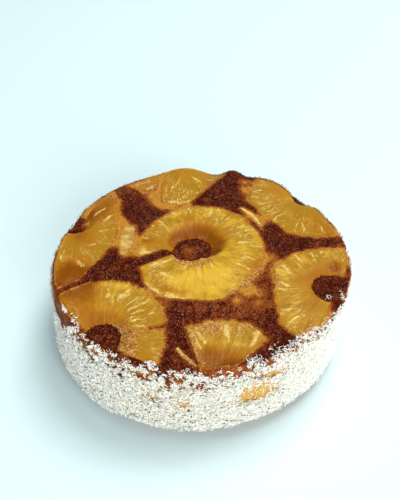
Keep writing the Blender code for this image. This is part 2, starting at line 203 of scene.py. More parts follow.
# %% The rings and their parts
PIECES = {
    "ring_centre": ring(
        (-0.005, 0.0045), 0.0130, (0.0005, 0.0015), (0.0430, 0.0485), (-152.0, 195.0),
        dent=0.0042, slope=(0.0065, 0.0060, 0.0020), bulge=(-123.0, 0.0034, 17.0),
        gap=(0.0, 0.0030), inward=(-62.0, 0.0026, 50.0)),
    "ring_left": ring(
        (-0.089, 0.033), 0.0090, (-0.089, 0.020), (0.060, 0.062), (-108.0, -3.0),
        cuts=((-0.0575, 0.010, -0.0570, 0.033), (-0.078, -0.026, -0.057, 0.013),
              (-0.095, -0.036, -0.076, -0.024)), dent=0.0022),
    "ring_left_top": ring(
        (-0.089, 0.033), 0.0090, (-0.089, 0.033), (0.052, 0.052), (1.5, 60.0),
        cuts=((-0.0575, 0.030, -0.0585, 0.058), (-0.0585, 0.058, -0.0680, 0.076)), dent=0.0022),
    "ring_front_left": ring(
        (-0.057, -0.073), 0.0120, (-0.060, -0.070), (0.0395, 0.0430), (13.5, 151.0),
        dent=0.0020, slope=(0.0050, 0.0045, 0.0), inward=(15.0, 0.0026, 50.0)),
    "ring_front_left_end": ring(
        (-0.057, -0.073), 0.0120, (-0.060, -0.070), (0.0400, 0.0430), (-43.0, 9.5),
        cuts=((-0.0210, -0.096, -0.0220, -0.060),), dent=0.0012, inward=(0.0, 0.0026, 40.0)),
    "ring_front": ring(
        (0.0030, -0.1105), 0.0095, (0.012, -0.105), (0.0440, 0.0435), (44.6, 106.0),
        cuts=((0.0390, -0.078, 0.0300, -0.066),), dent=0.0015),
    "ring_right": ring(
        (0.082, -0.036), 0.0120, (0.084, -0.042), (0.046, 0.042), (46.0, 255.0),
        cuts=((0.0460, -0.010, 0.0455, -0.072),), dent=0.0012, slope=(0.0050, 0.0035, 0.0)),
    "ring_back_right": ring(
        (0.082, 0.062), 0.0110, (0.082, 0.058), (0.0445, 0.0465), (149.5, 284.0),
        cuts=((0.0430, 0.043, 0.0635, 0.012),), dent=0.0020),
    "ring_back": ring(
        (-0.010, 0.108), 0.0090, (-0.012, 0.095), (0.0380, 0.0415), (-137.0, -27.5),
        cuts=((-0.006, 0.056, 0.024, 0.095), (-0.0285, 0.090, -0.0285, 0.052)), dent=0.0),
    "ring_back_left": ring(
        (-0.030, 0.060), 0.0130, (-0.030, 0.060), (0.060, 0.060), (92.5, 146.0), dent=0.0010),
}

# %% Thin strips of fruit


def strip(hole, span, reach, half_width, swell):
    """A thin strip beside a ring, in polar form too: its middle line runs from the first
    to the second reach, and its half width is a sine bump on a low start."""
    return {
        "hole": hole,
        "span": (math.radians(span[0]), math.radians(span[1])),
        "line": reach,
        "half_width": half_width,
        "swell": swell,
        "dent": 0.0,
        "slope": (0.004, 0.0, 0.0),
        "gap": (0.0, 0.0),
    }


STRIPS = {
    "sliver_left": strip((-0.089, 0.033), (-45.0, -6.0), (0.0515, 0.0400), (0.0012, 0.0050),
                         (0.10, 0.72)),
    "fibre_strip": strip((-0.005, 0.0045), (19.0, 51.0), (0.0512, 0.0545), (0.0005, 0.0011),
                         (0.10, 0.60)),
    "fibre_front": strip((-0.050, -0.105), (13.5, 33.5), (0.0476, 0.0424), (0.0004, 0.0007),
                         (0.10, 0.80)),
}
FRUIT = {**PIECES, **STRIPS}
for number, piece in enumerate(FRUIT.values()):
    piece["seed"] = 100 + 10 * number
print(len(FRUIT), "pieces of fruit")

# %% How far a piece reaches at each angle


def ellipse_crossings(start, angle, centre, reach):
    """Near and far distance at which rays from a point meet an ellipse: the two roots of
    the quadratic in the distance along the ray."""
    ray_x, ray_y = np.cos(angle) / reach[0], np.sin(angle) / reach[1]
    off_x, off_y = (start[0] - centre[0]) / reach[0], (start[1] - centre[1]) / reach[1]
    a = ray_x**2 + ray_y**2
    b = ray_x * off_x + ray_y * off_y
    root = np.sqrt(np.maximum(b * b - a * (off_x**2 + off_y**2 - 1.0), 0.0))
    return (-b - root) / a, (-b + root) / a


def cut_distance(start, angle, cut):
    """Distance along each ray to a knife line that has the piece on its left."""
    x1, y1, x2, y2 = cut
    normal = (y2 - y1, x1 - x2)
    slant = np.cos(angle) * normal[0] + np.sin(angle) * normal[1]
    run = (x1 - start[0]) * normal[0] + (y1 - start[1]) * normal[1]
    return np.where(slant > 1e-9, run / np.maximum(slant, 1e-9), 1.0)


def ragged_edge(angle, seed, size):
    """Unevenness of an edge: broad and fine noise along it, of a given size."""
    along, row = angle * 0.040, 0.0 * angle + 0.0137 * seed
    return size * (soft_noise(along, row, 0.0075, seed) + 0.7 * soft_noise(along, row, 0.0022, seed))


def piece_reach(piece, angle):
    """Inner and outer radius of a piece at an array of angles."""
    inner, outer = smooth_reach(piece, angle)
    seed = piece["seed"]
    size = 0.0005 if "line" in piece else 0.0007
    return inner + ragged_edge(angle, seed, 0.6 * size), outer + ragged_edge(angle, seed + 1, size)


def smooth_reach(piece, angle):
    """The same without the unevenness: ring edges, the tin and the knife cuts."""
    if "line" in piece:
        first, last = piece["span"]
        share = (angle - first) / (last - first)
        start, end = piece["line"]
        middle = end + (start - end) * (1.0 - share) ** 2
        low, more = piece["half_width"]
        half = low + more * np.sin(math.pi * (piece["swell"][0] + piece["swell"][1] * share))
        return middle - half, middle + half
    hole = piece["hole"]
    outer = ellipse_crossings(hole, angle, piece["middle"], piece["reach"])[1]
    at, height, spread = piece["bulge"]
    outer = outer + height * np.exp(-(((angle - at) / spread) ** 2))
    inner_at, inner_height, inner_spread = piece["inward"]
    edge = piece["hole_radius"] - inner_height * np.exp(-(((angle - inner_at) / inner_spread) ** 2))
    enter, leave = ellipse_crossings(hole, angle, (0.0, 0.0), (RIM_RADIUS, RIM_RADIUS))
    inner = np.maximum(edge, enter)
    outer = np.minimum(outer, leave)
    for cut in piece["cuts"]:
        outer = np.minimum(outer, cut_distance(hole, angle, cut))
    return inner, outer


# %% Inside or outside a piece


def end_gaps(piece, radius, inner, outer):
    """How far a piece's two ends stand back: their gaps at the hole, a fifth of them outside."""
    share = 1.0 - 0.8 * np.clip((radius - inner) / (outer - inner), 0.0, 1.0)
    return piece["gap"][0] * share, piece["gap"][1] * share


def depth_inside(x, y):
    """How deep a place on the top lies inside the nearest piece, negative outside: the
    least of the distances to the inner edge, the outer edge and the two ends."""
    deepest = np.full(np.shape(x), -1.0)
    for piece in FRUIT.values():
        dx, dy = x - piece["hole"][0], y - piece["hole"][1]
        away = np.hypot(dx, dy)
        first, last = piece["span"]
        middle = 0.5 * (first + last)
        angle = (np.arctan2(dy, dx) - middle + math.pi) % math.tau - math.pi + middle
        inner, outer = piece_reach(piece, np.clip(angle, first, last))
        gap, last_gap = end_gaps(piece, away, inner, outer)
        ends = np.minimum((angle - first) * away - gap, (last - angle) * away - last_gap)
        deepest = np.maximum(deepest, np.minimum(np.minimum(away - inner, outer - away), ends))
    return deepest


def hole_fall(x, y, edge_width, depth=None):
    """The most that any ring's hole adds at a place: its dent, or the given depth, inside
    the hole and an S curve down to 0 over the edge's width outside it."""
    fall = np.zeros(np.shape(x))
    for piece in PIECES.values():
        if piece["dent"] > 0.0:
            away = np.hypot(x - piece["hole"][0], y - piece["hole"][1])
            edge = piece["hole_radius"]
            share = 1.0 - smooth_step(edge, edge + edge_width, away)
            fall = np.maximum(fall, (depth or piece["dent"]) * share)
    return fall


def crumb_height(x, y):
    """The crumb lies a little below the fruit and falls away in the holes of the rings."""
    return lie(x, y) - CRUMB_SINK - hole_fall(x, y, HOLE_EDGE) + waves(CRUMB_WAVES, x, y)


# %% [markdown]
# ## Where syrup soaked the crumb
# Narrow gaps between two pieces aren't dark: juice soaked the crumb there and left it
# golden and less rough, and every piece has a thin amber margin, but not round the holes.
# The places are read off the photo, as x, y, strength and spread in millimetres.

# %% Soaked and paler places
PALE_CRUMB = ((-2, -54, 0.15, 8), (14, -52, 0.17, 8), (28, -52, 0.2, 8), (-8, 2, 0.2, 7))
SOAKED_SPOTS = (
    (-20, 53, 1, 5), (-9, 51.5, 0.8, 3.5), (-29, 57, 1, 5), (-29, 70, 1, 4), (-29, 85, 1, 5),
    (-36, 66, 0.7, 5), (-56, 30, 1, 4), (-55.5, 20, 1, 4), (-55.5, 10, 0.8, 4), (-70, 33, 1, 6),
    (-60, 33, 1, 5), (-78, 33, 0.8, 4), (-44.5, 12, 0.8, 4), (-44.5, 0, 0.8, 3.5),
    (45, -8, 0.7, 5), (45.5, -20, 0.35, 5), (45, -30, 0.15, 5), (22, -47, 0.7, 3),
    (30, -38, 0.8, 4), (37, -37, 0.35, 4), (38, -48, 0.4, 6), (30, -52, 0.3, 5),
    (-31, -40, 0.6, 4), (-24, -48, 0.6, 4), (45, 30.5, 0.9, 2.6), (36, 36, 0.7, 3.5),
    (43.5, 36, 0.9, 2.8), (40, 44, -0.3, 2.6), (-20, 1.5, -0.8, 3), (-40, -71, 1, 3),
    (-34, -69, 0.6, 4), (36, 80, 0.7, 4), (36, 70, 0.8, 4), (38, 58, 0.6, 4), (-86, -46, 0.6, 5),
    (-82, -60, 0.6, 6), (66, -71, 0.8, 6), (75, -63, 0.7, 5), (98, -12, 0.9, 5), (97, 0, 0.6, 4),
    (-97.5, 10, 0.7, 6), (-98, -8, 0.7, 6), (-95, -22, 0.5, 6), (-10, 98, 1, 7), (4, 98, 0.8, 6),
    (-22, 96, 0.6, 5), (98, 16, 0.7, 5), (94, 34, 0.4, 6), (-80, 56, 0.7, 5), (-86, 47, 0.6, 5),
    (-8, 5, 0.5, 4), (-40, 88, 0.5, 5), (-58, 70, 0.45, 5),
)
MARGIN = 0.0013
HOLE_MARGIN = 0.0010


def millimetre_spots(table, x, y):
    """Round bells at places listed in millimetres."""
    return waves(np.array(table) * (1e-3, 1e-3, 1.0, 1e-3), x, y)


def off_holes(x, y):
    """0 in the holes of the rings and 1 from a millimetre outside them."""
    return 1.0 - hole_fall(x, y, HOLE_MARGIN, 1.0)


def soaked_share(x, y):
    """How soaked the crumb is, 0 to 1: 1.1 times the bells at the listed places, and a
    margin outside each piece that falls off as exp(-distance / MARGIN), their sum made
    ragged by noise. A spot of negative strength keeps its place dry."""
    bells = millimetre_spots(SOAKED_SPOTS, x, y)
    margin = 0.7 * np.exp(np.minimum(depth_inside(x, y), 0.0) / MARGIN) * off_holes(x, y)
    ragged = 1.0 + 0.30 * soft_noise(x, y, 0.0040, 61) + 0.25 * soft_noise(x, y, 0.0016, 62)
    return np.clip((1.1 * bells + margin) * ragged, 0.0, 1.0)


# %% [markdown]
# ## From arrays to a mesh
# A shape here is an array of points and arrays of faces. One helper hands them to Blender
# in bulk, which is far quicker than a loop, and a second one keeps a value for each point,
# which the materials read back as an attribute.

# %% Mesh helpers


def mesh_piece(name, points, faces, material, smooth=True):
    """Points (n, 3) and face arrays (m, corners) become one object that rides on the cake."""
    corners = np.concatenate([face.ravel() for face in faces]).astype(np.int32)
    sizes = np.concatenate([np.full(len(face), face.shape[1]) for face in faces])
    starts = np.concatenate([[0], np.cumsum(sizes)[:-1]]).astype(np.int32)
    mesh = bpy.data.meshes.new(name)
    mesh.vertices.add(len(points))
    mesh.vertices.foreach_set("co", np.asarray(points, np.float32).ravel())
    mesh.loops.add(len(corners))
    mesh.loops.foreach_set("vertex_index", corners)
    mesh.polygons.add(len(sizes))
    mesh.polygons.foreach_set("loop_start", starts)
    mesh.update(calc_edges=True)
    mesh.validate()
    if smooth:
        mesh.shade_smooth()
    else:
        mesh.shade_flat()
    mesh.materials.append(material)
    made = bpy.data.objects.new(name, mesh)
    bpy.context.scene.collection.objects.link(made)
    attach(made, "root")
    triangles = int(np.sum(sizes - 2))
    print(name, len(points), "points,", triangles, "triangles")
    return made


def keep_value(made, name, values):
    """A number for each point of a piece, for its material to read."""
    layer = made.data.attributes.new(name, "FLOAT", "POINT")
    layer.data.foreach_set("value", np.asarray(values, np.float32).ravel())


def keep_place(made, name, values):
    """Three numbers for each point, such as a place along the fibres."""
    layer = made.data.attributes.new(name, "FLOAT_VECTOR", "POINT")
    layer.data.foreach_set("vector", np.asarray(values, np.float32).ravel())


def grid_faces(rows, columns, first=0, around=False):
    """Quads of a grid of points stored row by row; around joins the last column to the first."""
    row = np.arange(rows - 1)[:, None] * columns
    column = np.arange(columns if around else columns - 1)[None, :]
    right = (column + 1) % columns
    a, b = row + column, row + right
    return np.stack([a, b, b + columns, a + columns], -1).reshape(-1, 4) + first


# %% [markdown]
# ## Materials
# Every finish is a Principled shader fed by noise and by the values kept on the points.
# Colours are picked as they look in the photo and turned into Blender's linear values.

# %% Material helpers


def colour(red, green, blue):
    """A colour from 0 to 255 as seen on a screen, as Blender's linear colour."""
    seen = np.array([red, green, blue]) / 255.0
    linear = np.where(seen <= 0.04045, seen / 12.92, ((seen + 0.055) / 1.055) ** 2.4)
    return (*[float(value) for value in linear], 1.0)


def finish(name, settings):
    """A new material, its node tree and its Principled shader with the settings given."""
    made = bpy.data.materials.new(name)
    made.use_nodes = True
    shader = made.node_tree.nodes["Principled BSDF"]
    for socket, value in settings.items():
        shader.inputs[socket].default_value = value
    return made, made.node_tree, shader


def add_node(tree, kind, inputs, **settings):
    """A node with its settings, and its inputs set to a value or joined to an output."""
    made = tree.nodes.new(kind)
    for key, value in settings.items():
        setattr(made, key, value)
    for socket, value in inputs.items():
        if isinstance(value, bpy.types.NodeSocket):
            tree.links.new(value, made.inputs[socket])
        else:
            made.inputs[socket].default_value = value
    return made


def read_value(tree, name):
    """The output of an attribute that holds one number a point."""
    return add_node(tree, "ShaderNodeAttribute", {}, attribute_name=name).outputs["Fac"]


# %% Noise and colour nodes


def noise_on(tree, vector, scale, detail=3.0, roughness=0.55):
    """Blender's noise on coordinates in metres, stretched by a scale along each axis."""
    stretch = add_node(tree, "ShaderNodeMapping", {"Vector": vector, "Scale": scale})
    inputs = {"Vector": stretch.outputs[0], "Scale": 1.0, "Detail": detail,
              "Roughness": roughness}
    return add_node(tree, "ShaderNodeTexNoise", inputs).outputs["Fac"]


def even_noise(tree, scale, detail=3.0):
    """Noise on the piece's own coordinates with the same scale along each axis."""
    place = add_node(tree, "ShaderNodeTexCoord", {}).outputs["Object"]
    return noise_on(tree, place, (scale, scale, scale), detail)


def spread(tree, value, low, high):
    """A value spread from low..high to 0..1 by an S curve."""
    inputs = {"Value": value, "From Min": low, "From Max": high}
    made = add_node(tree, "ShaderNodeMapRange", inputs, interpolation_type="SMOOTHSTEP")
    return made.outputs[0]


def blend_colour(tree, share, first, second):
    """The first colour where share is 0 and the second where it is 1."""
    made = add_node(tree, "ShaderNodeMix", {0: share, 6: first, 7: second}, data_type="RGBA")
    return made.outputs[2]


def fade(tree, value, low, high, first, second):
    """The first colour where a value is low, and the second where it is high."""
    return blend_colour(tree, spread(tree, value, low, high), first, second)


def combine(tree, operation, first, second):
    """One of the Math node's sums of two values."""
    made = add_node(tree, "ShaderNodeMath", {0: first, 1: second}, operation=operation)
    return made.outputs[0]


def add_part(tree, first, second, part):
    """The first value plus a part of the second."""
    return combine(tree, "ADD", first, combine(tree, "MULTIPLY", second, part))


def join_finish(tree, shader, body, height, distance):
    """Joins the colour, and fine relief: the height tilts the shading by up to a distance
    in metres."""
    tree.links.new(body, shader.inputs["Base Color"])
    inputs = {"Height": height, "Distance": distance, "Strength": 1.0}
    made = add_node(tree, "ShaderNodeBump", inputs)
    tree.links.new(made.outputs[0], shader.inputs["Normal"])


# %% [markdown]
# ## The sponge
# On the real cake this is one body: a flat base, a rounded bare foot, the wall and the
# grainy caramelised top. A square grid bent onto the disc keeps its cells the same size all
# over, which a polar grid can't, and its edge runs on down the side row by row. The crumb's
# grain is three sizes of cell noise, and under the fruit it drops away.

# %% Grain of the crumb
GRAIN_SIZES = ((0.0048, 0.0006, 31), (0.0025, 0.0007, 32), (0.0015, 0.0006, 33))
GRAIN_HEIGHT = 0.0019
BED_DEPTH = 0.0030
BED_EDGE = (0.0010, 0.0026)
MARGIN_RISE = 0.0007
MARGIN_RUN = 0.0018
RIM_BAND = 0.006


def crumb_relief(x, y):
    """Height of the grain above the crumb's mean, and how far up its grain a place is."""
    bend_x = x + 0.0008 * soft_noise(x, y, 0.0035, 21)
    bend_y = y + 0.0008 * soft_noise(x, y, 0.0035, 22)
    relief = 0.0008 * soft_noise(x, y, 0.0110, 23)
    total = 0.0
    for size, height, seed in GRAIN_SIZES:
        dome = grains(bend_x, bend_y, size, seed) - 0.6
        relief = relief + height * dome
        total = total + dome * height
    return relief, total / GRAIN_HEIGHT + 0.5


def crumb_surface(x, y):
    """Height of the crumb with its grain, and its beds under the pieces of fruit."""
    relief, grain = crumb_relief(x, y)
    soaked = soaked_share(x, y)
    depth = depth_inside(x, y)
    bed = smooth_step(*BED_EDGE, depth)
    near = np.exp(np.minimum(depth, 0.0) / MARGIN_RUN) * off_holes(x, y)
    rise = MARGIN_RISE * np.maximum(near, 0.8 * soaked)
    rim = 1.0 - smooth_step(TOP_RADIUS - RIM_BAND, TOP_RADIUS, np.hypot(x, y))
    relief = relief * (0.5 + 0.5 * rim) * (1.0 - bed) * (1.0 - 0.7 * soaked)
    return crumb_height(x, y) + relief + rise * (1.0 - bed) - BED_DEPTH * bed, grain


# %% The sponge's mesh
TOP_CELLS = 248
WALL_ROWS = 26
CORNER_ROWS = 5
COAT_THICKNESS = 0.0009


def disc_of_squares(cells):
    """A square grid bent onto the unit disc with equal cells: the square's rings become
    circles, and the place along a side becomes an angle."""
    side = np.linspace(-1.0, 1.0, cells + 1)
    a, b = np.meshgrid(side, side)
    flat = np.abs(a) > np.abs(b)
    safe_a = np.where(a == 0.0, 1.0, a)
    safe_b = np.where(b == 0.0, 1.0, b)
    radius = np.where(flat, a, b)
    angle = np.where(flat, b / safe_a, 2.0 - a / safe_b) * (math.pi / 4.0)
    return radius * np.cos(angle), radius * np.sin(angle)


def disc_edge(cells):
    """Numbers of the grid's edge points, counterclockwise from its lower right corner."""
    side = cells + 1
    step = np.arange(cells)
    right = step * side + cells
    top = cells * side + cells - step
    left = (cells - step) * side
    return np.concatenate([right, top, left, step])


# %% Side and top of the sponge


def rim_height(angle):
    """Height of the top's edge all round, worked out where the crumb meets the wall."""
    x, y = TOP_RADIUS * np.cos(angle), TOP_RADIUS * np.sin(angle)
    return np.minimum(crumb_height(x, y), lie(x, y))


def side_rows(angle):
    """Points of the side from the base up to just below the top's edge: each row is an
    offset from the wall's radius and a share of the rim's height, closer together towards
    the top, and lumps are added to the radius."""
    foot = COAT_FOOT / CAKE_HEIGHT
    corner = TOP_CORNER / CAKE_HEIGHT
    rows = [(BASE_RADIUS - FOOT_RADIUS, 0.0), (-0.0095, 0.04 * foot), (-0.0072, 0.14 * foot),
            (-0.0052, 0.32 * foot), (-0.0036, 0.58 * foot), (-0.0026, 0.90 * foot)]
    share = 1.05 * foot + (1.0 - corner - 1.05 * foot) * np.linspace(0.0, 1.0, WALL_ROWS) ** 0.75
    rows += [(-COAT_THICKNESS, value) for value in share]
    turn = np.linspace(0.0, math.pi / 2.0, CORNER_ROWS + 1)[1:-1]
    rows += [(TOP_CORNER * (math.cos(a) - 1.0) - COAT_THICKNESS * math.cos(a),
              1.0 - corner * (1.0 - math.sin(a))) for a in turn]
    offset = np.array([row[0] for row in rows])[:, None]
    height = np.array([row[1] for row in rows])[:, None] * rim_height(angle)[None, :]
    arc = angle * TOP_RADIUS
    lumps = 0.0006 * soft_noise(arc[None, :] + 0.0 * height, height, 0.006, 41)
    lumps = lumps + 0.0003 * soft_noise(arc[None, :] + 0.0 * height, height, 0.002, 42)
    lumps = lumps * smooth_step(0.0, 0.008, height)
    radius = wall_radius(height) + out_of_round(angle)[None, :] + offset + lumps
    centre = lean(height)
    x = centre[0] + radius * np.cos(angle)[None, :]
    y = centre[1] + radius * np.sin(angle)[None, :]
    return np.stack([x, y, height], -1)


def sponge_points():
    """All points of the sponge, rows of the side first, and the faces that join them."""
    edge = disc_edge(TOP_CELLS)
    angle = -math.pi / 4.0 + math.tau * np.arange(len(edge)) / len(edge)
    side = side_rows(angle)
    rows, columns = side.shape[:2]
    flat_x, flat_y = disc_of_squares(TOP_CELLS)
    turn = np.arctan2(flat_y, flat_x)
    radius = TOP_RADIUS - TOP_CORNER + out_of_round(turn) * np.hypot(flat_x, flat_y) ** 2
    x, y = flat_x * radius, flat_y * radius
    z, grain = crumb_surface(x, y)
    top = np.stack([x + TOP_CENTRE[0], y + TOP_CENTRE[1], z], -1).reshape(-1, 3)
    first = rows * columns
    seam = np.arange(columns)
    after = (seam + 1) % columns
    last_row = (rows - 1) * columns
    join = np.stack([last_row + seam, last_row + after, first + edge[after], first + edge], -1)
    faces = [grid_faces(rows, columns, around=True), join,
             grid_faces(TOP_CELLS + 1, TOP_CELLS + 1, first),
             np.arange(columns)[::-1][None, :]]
    points = np.concatenate([side.reshape(-1, 3), top])
    grain = np.concatenate([np.full(first, 0.5), grain.ravel()])
    coat = np.concatenate([wall_cover(side).ravel(), np.zeros(len(top))])
    return points, faces, grain, coat


# %% [markdown]
# ## Where the coconut covers
# The coat isn't even: it has a few bare golden patches, gets thin near the top edge, and
# at the front it climbs over the edge onto the top. One cover function serves both the
# colour under the coat and the scattering of the bits.

# %% Cover of the coat
CLIMB = (
    (-134, 0.0012, 8), (-110, 0.0018, 7), (-93, 0.0006, 8), (-76, 0.0010, 6),
    (-58, 0.0048, 8), (-38, 0.0014, 8), (-150, -0.0095, 5), (-160, -0.0040, 6),
    (176, -0.0030, 8), (60, -0.0016, 20), (152, -0.0012, 12), (-2, 0.0016, 10),
)
EDGE_RUN = 0.0026
# Each patch: degrees round the wall, height, half width in degrees, half height, strength
BARE_PATCHES = (
    (-70, 0.035, 8.5, 0.0095, 0.88), (-64, 0.049, 6, 0.0045, 0.80),
    (-95, 0.032, 3.4, 0.0050, 0.75), (-106.5, 0.036, 4.5, 0.0045, 0.75),
    (-129, 0.053, 5, 0.0022, 0.45), (-114, 0.055, 8, 0.0022, 0.45),
    (60, 0.030, 5, 0.0050, 0.70), (150, 0.042, 4, 0.0040, 0.60),
)
SPARSE_PLACES = (
    (-125, 0.62, 22), (-95, 0.42, 14), (-160, 0.55, 14), (-72, 0.40, 9),
    (10, 0.45, 30), (90, 0.40, 40), (165, 0.50, 20),
)
SPARSE_DEPTH = 0.030


def degrees_from(angle, at):
    """Degrees from a place on the wall, from -180 to 180."""
    return (np.degrees(angle) - at + 180.0) % 360.0 - 180.0


def round_the_wall(table, angle):
    """Bells round the wall: each is degrees, height and spread in degrees."""
    total = np.zeros(np.shape(angle))
    for at, height, wide in table:
        total = total + height * np.exp(-0.5 * (degrees_from(angle, at) / wide) ** 2)
    return total


# %% Thin and bare parts of the coat


def thin_share(angle, below):
    """How thin the coat is at a distance below the top's edge: at the listed angles it
    gets thin towards the edge."""
    places = np.clip(round_the_wall(SPARSE_PLACES, angle), 0.0, 1.0)
    return places * (1.0 - smooth_step(0.0, SPARSE_DEPTH, below))


def bare_share(angle, z):
    """How bare the wall is, from 0 to 1: the largest of the patches, each an ellipse of
    degrees by metres, with a ragged edge."""
    ragged = 0.45 * soft_noise(angle * TOP_RADIUS, z, 0.0025, 51)
    total = np.zeros(np.shape(z))
    for at, height, wide, tall, strength in BARE_PATCHES:
        square = (degrees_from(angle, at) / wide) ** 2 + ((z - height) / tall) ** 2
        total = np.maximum(total, strength * smooth_step(1.5, 0.3, square + ragged))
    return total


def wall_cover(points):
    """Cover of the side's own points: none on the foot, full on the wall."""
    x, y, z = points[..., 0], points[..., 1], points[..., 2]
    centre = lean(z)
    angle = np.arctan2(y - centre[1], x - centre[0])
    arc = angle * TOP_RADIUS
    edge = COAT_FOOT + 0.0012 * soft_noise(arc, 0.0 * z, 0.004, 52)
    cover = smooth_step(edge - 0.0008, edge + 0.0004, z) * (1.0 - bare_share(angle, z))
    below = rim_height(angle) - z + np.minimum(round_the_wall(CLIMB, angle), 0.0)
    ragged = 0.0012 * soft_noise(arc, z, 0.003, 53)
    patchy = 0.5 + 0.7 * soft_noise(arc, z, 0.0026, 54)
    cover = cover * (1.0 - np.clip(2.4 * thin_share(angle, below) * patchy, 0.0, 1.0))
    return cover * smooth_step(0.0008, 0.0050, below + ragged)


# %% [markdown]
# ## Crumb finish
# Caramelised crumb is dark brown, and golden where syrup soaked it; over that it is painted
# nearly black in its creases as painted shade and tan on its tips as painted highlight. The kept
# grain value, how high a place sits on its grain, sets that painted shade and highlight, finer
# noise breaks it up, and the wall under the coconut is off white with brown showing through.

# %% Material of the sponge
CRUMB_CREASE_SHADE = colour(30, 3, 1)
CRUMB_MID = colour(80, 15, 2)
CRUMB_TIP_HIGHLIGHT = colour(166, 82, 38)
SOAKED_GOLD = colour(204, 140, 46)
SOAKED_BROWN = colour(146, 70, 22)
SOAKED_PALE = colour(236, 196, 128)
SPONGE_GOLD = colour(228, 186, 94)
SPONGE_CRUST = colour(176, 116, 50)
COAT_UNDER = colour(232, 222, 196)
SYRUP_RUNS = ((-154, 0.22, 12), (-62, 0.15, 8))


def crumb_material(name):
    """Painted shade in the creases, mid brown, and painted highlight on the tips, by grain; gold
    where syrup soaked it or the wall is bare, and white with brown gaps under the coat."""
    made, tree, shader = finish(name, {"Roughness": 0.45, "Specular IOR Level": 0.04})
    fine = even_noise(tree, 1100.0)
    broad = even_noise(tree, 130.0, 2.0)
    speck = even_noise(tree, 620.0, 2.0)
    tone = add_part(tree, read_value(tree, "grain"), fine, 0.9)
    tone = add_part(tree, tone, broad, 0.5)
    # painted shade: low in the grain the crumb is darkened towards black; painted highlight: the
    # grain's tips are lightened to tan
    low = fade(tree, tone, 0.96, 1.30, CRUMB_CREASE_SHADE, CRUMB_MID)
    dark = fade(tree, tone, 1.38, 1.74, low, CRUMB_TIP_HIGHLIGHT)
    soaked = add_part(tree, read_value(tree, "soaked"), speck, 0.7)
    soaked = add_part(tree, soaked, fine, 0.9)
    brown = fade(tree, soaked, 0.94, 1.22, dark, SOAKED_BROWN)
    candied = fade(tree, fine, 0.58, 0.74, SOAKED_GOLD, SOAKED_PALE)
    top = fade(tree, soaked, 1.26, 1.88, brown, candied)
    gold = fade(tree, fine, 0.45, 0.68, SPONGE_GOLD, SPONGE_CRUST)
    bare = blend_colour(tree, read_value(tree, "gold"), top, gold)
    under = fade(tree, speck, 0.52, 0.62, COAT_UNDER, CRUMB_MID)
    covered = add_part(tree, read_value(tree, "coat"), speck, 0.9)
    body = fade(tree, covered, 0.85, 1.05, bare, under)
    join_finish(tree, shader, body, combine(tree, "ADD", fine, speck), 0.0008)
    return made


# %% Build the sponge
points, faces, grain, coat = sponge_points()
sponge = mesh_piece("cake_sponge", points, faces, crumb_material("crumb"))
centre = lean(points[:, 2])
around = np.arctan2(points[:, 1] - centre[1], points[:, 0] - centre[0])
wall = (np.arange(len(points)) < len(points) - (TOP_CELLS + 1) ** 2) * 1.0
flat = points[:, :2] - TOP_CENTRE
keep_value(sponge, "grain", grain + millimetre_spots(PALE_CRUMB, flat[:, 0], flat[:, 1]))
keep_value(sponge, "coat", coat)
keep_value(sponge, "gold", wall * bare_share(around, points[:, 2]))
run_down = 0.34 + 0.22 * soft_noise(around * TOP_RADIUS, points[:, 2], 0.0060, 63)
run_down = run_down + round_the_wall(SYRUP_RUNS, around)
keep_value(sponge, "soaked", np.where(wall > 0.0, run_down, soaked_share(flat[:, 0], flat[:, 1])))
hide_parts("sponge")
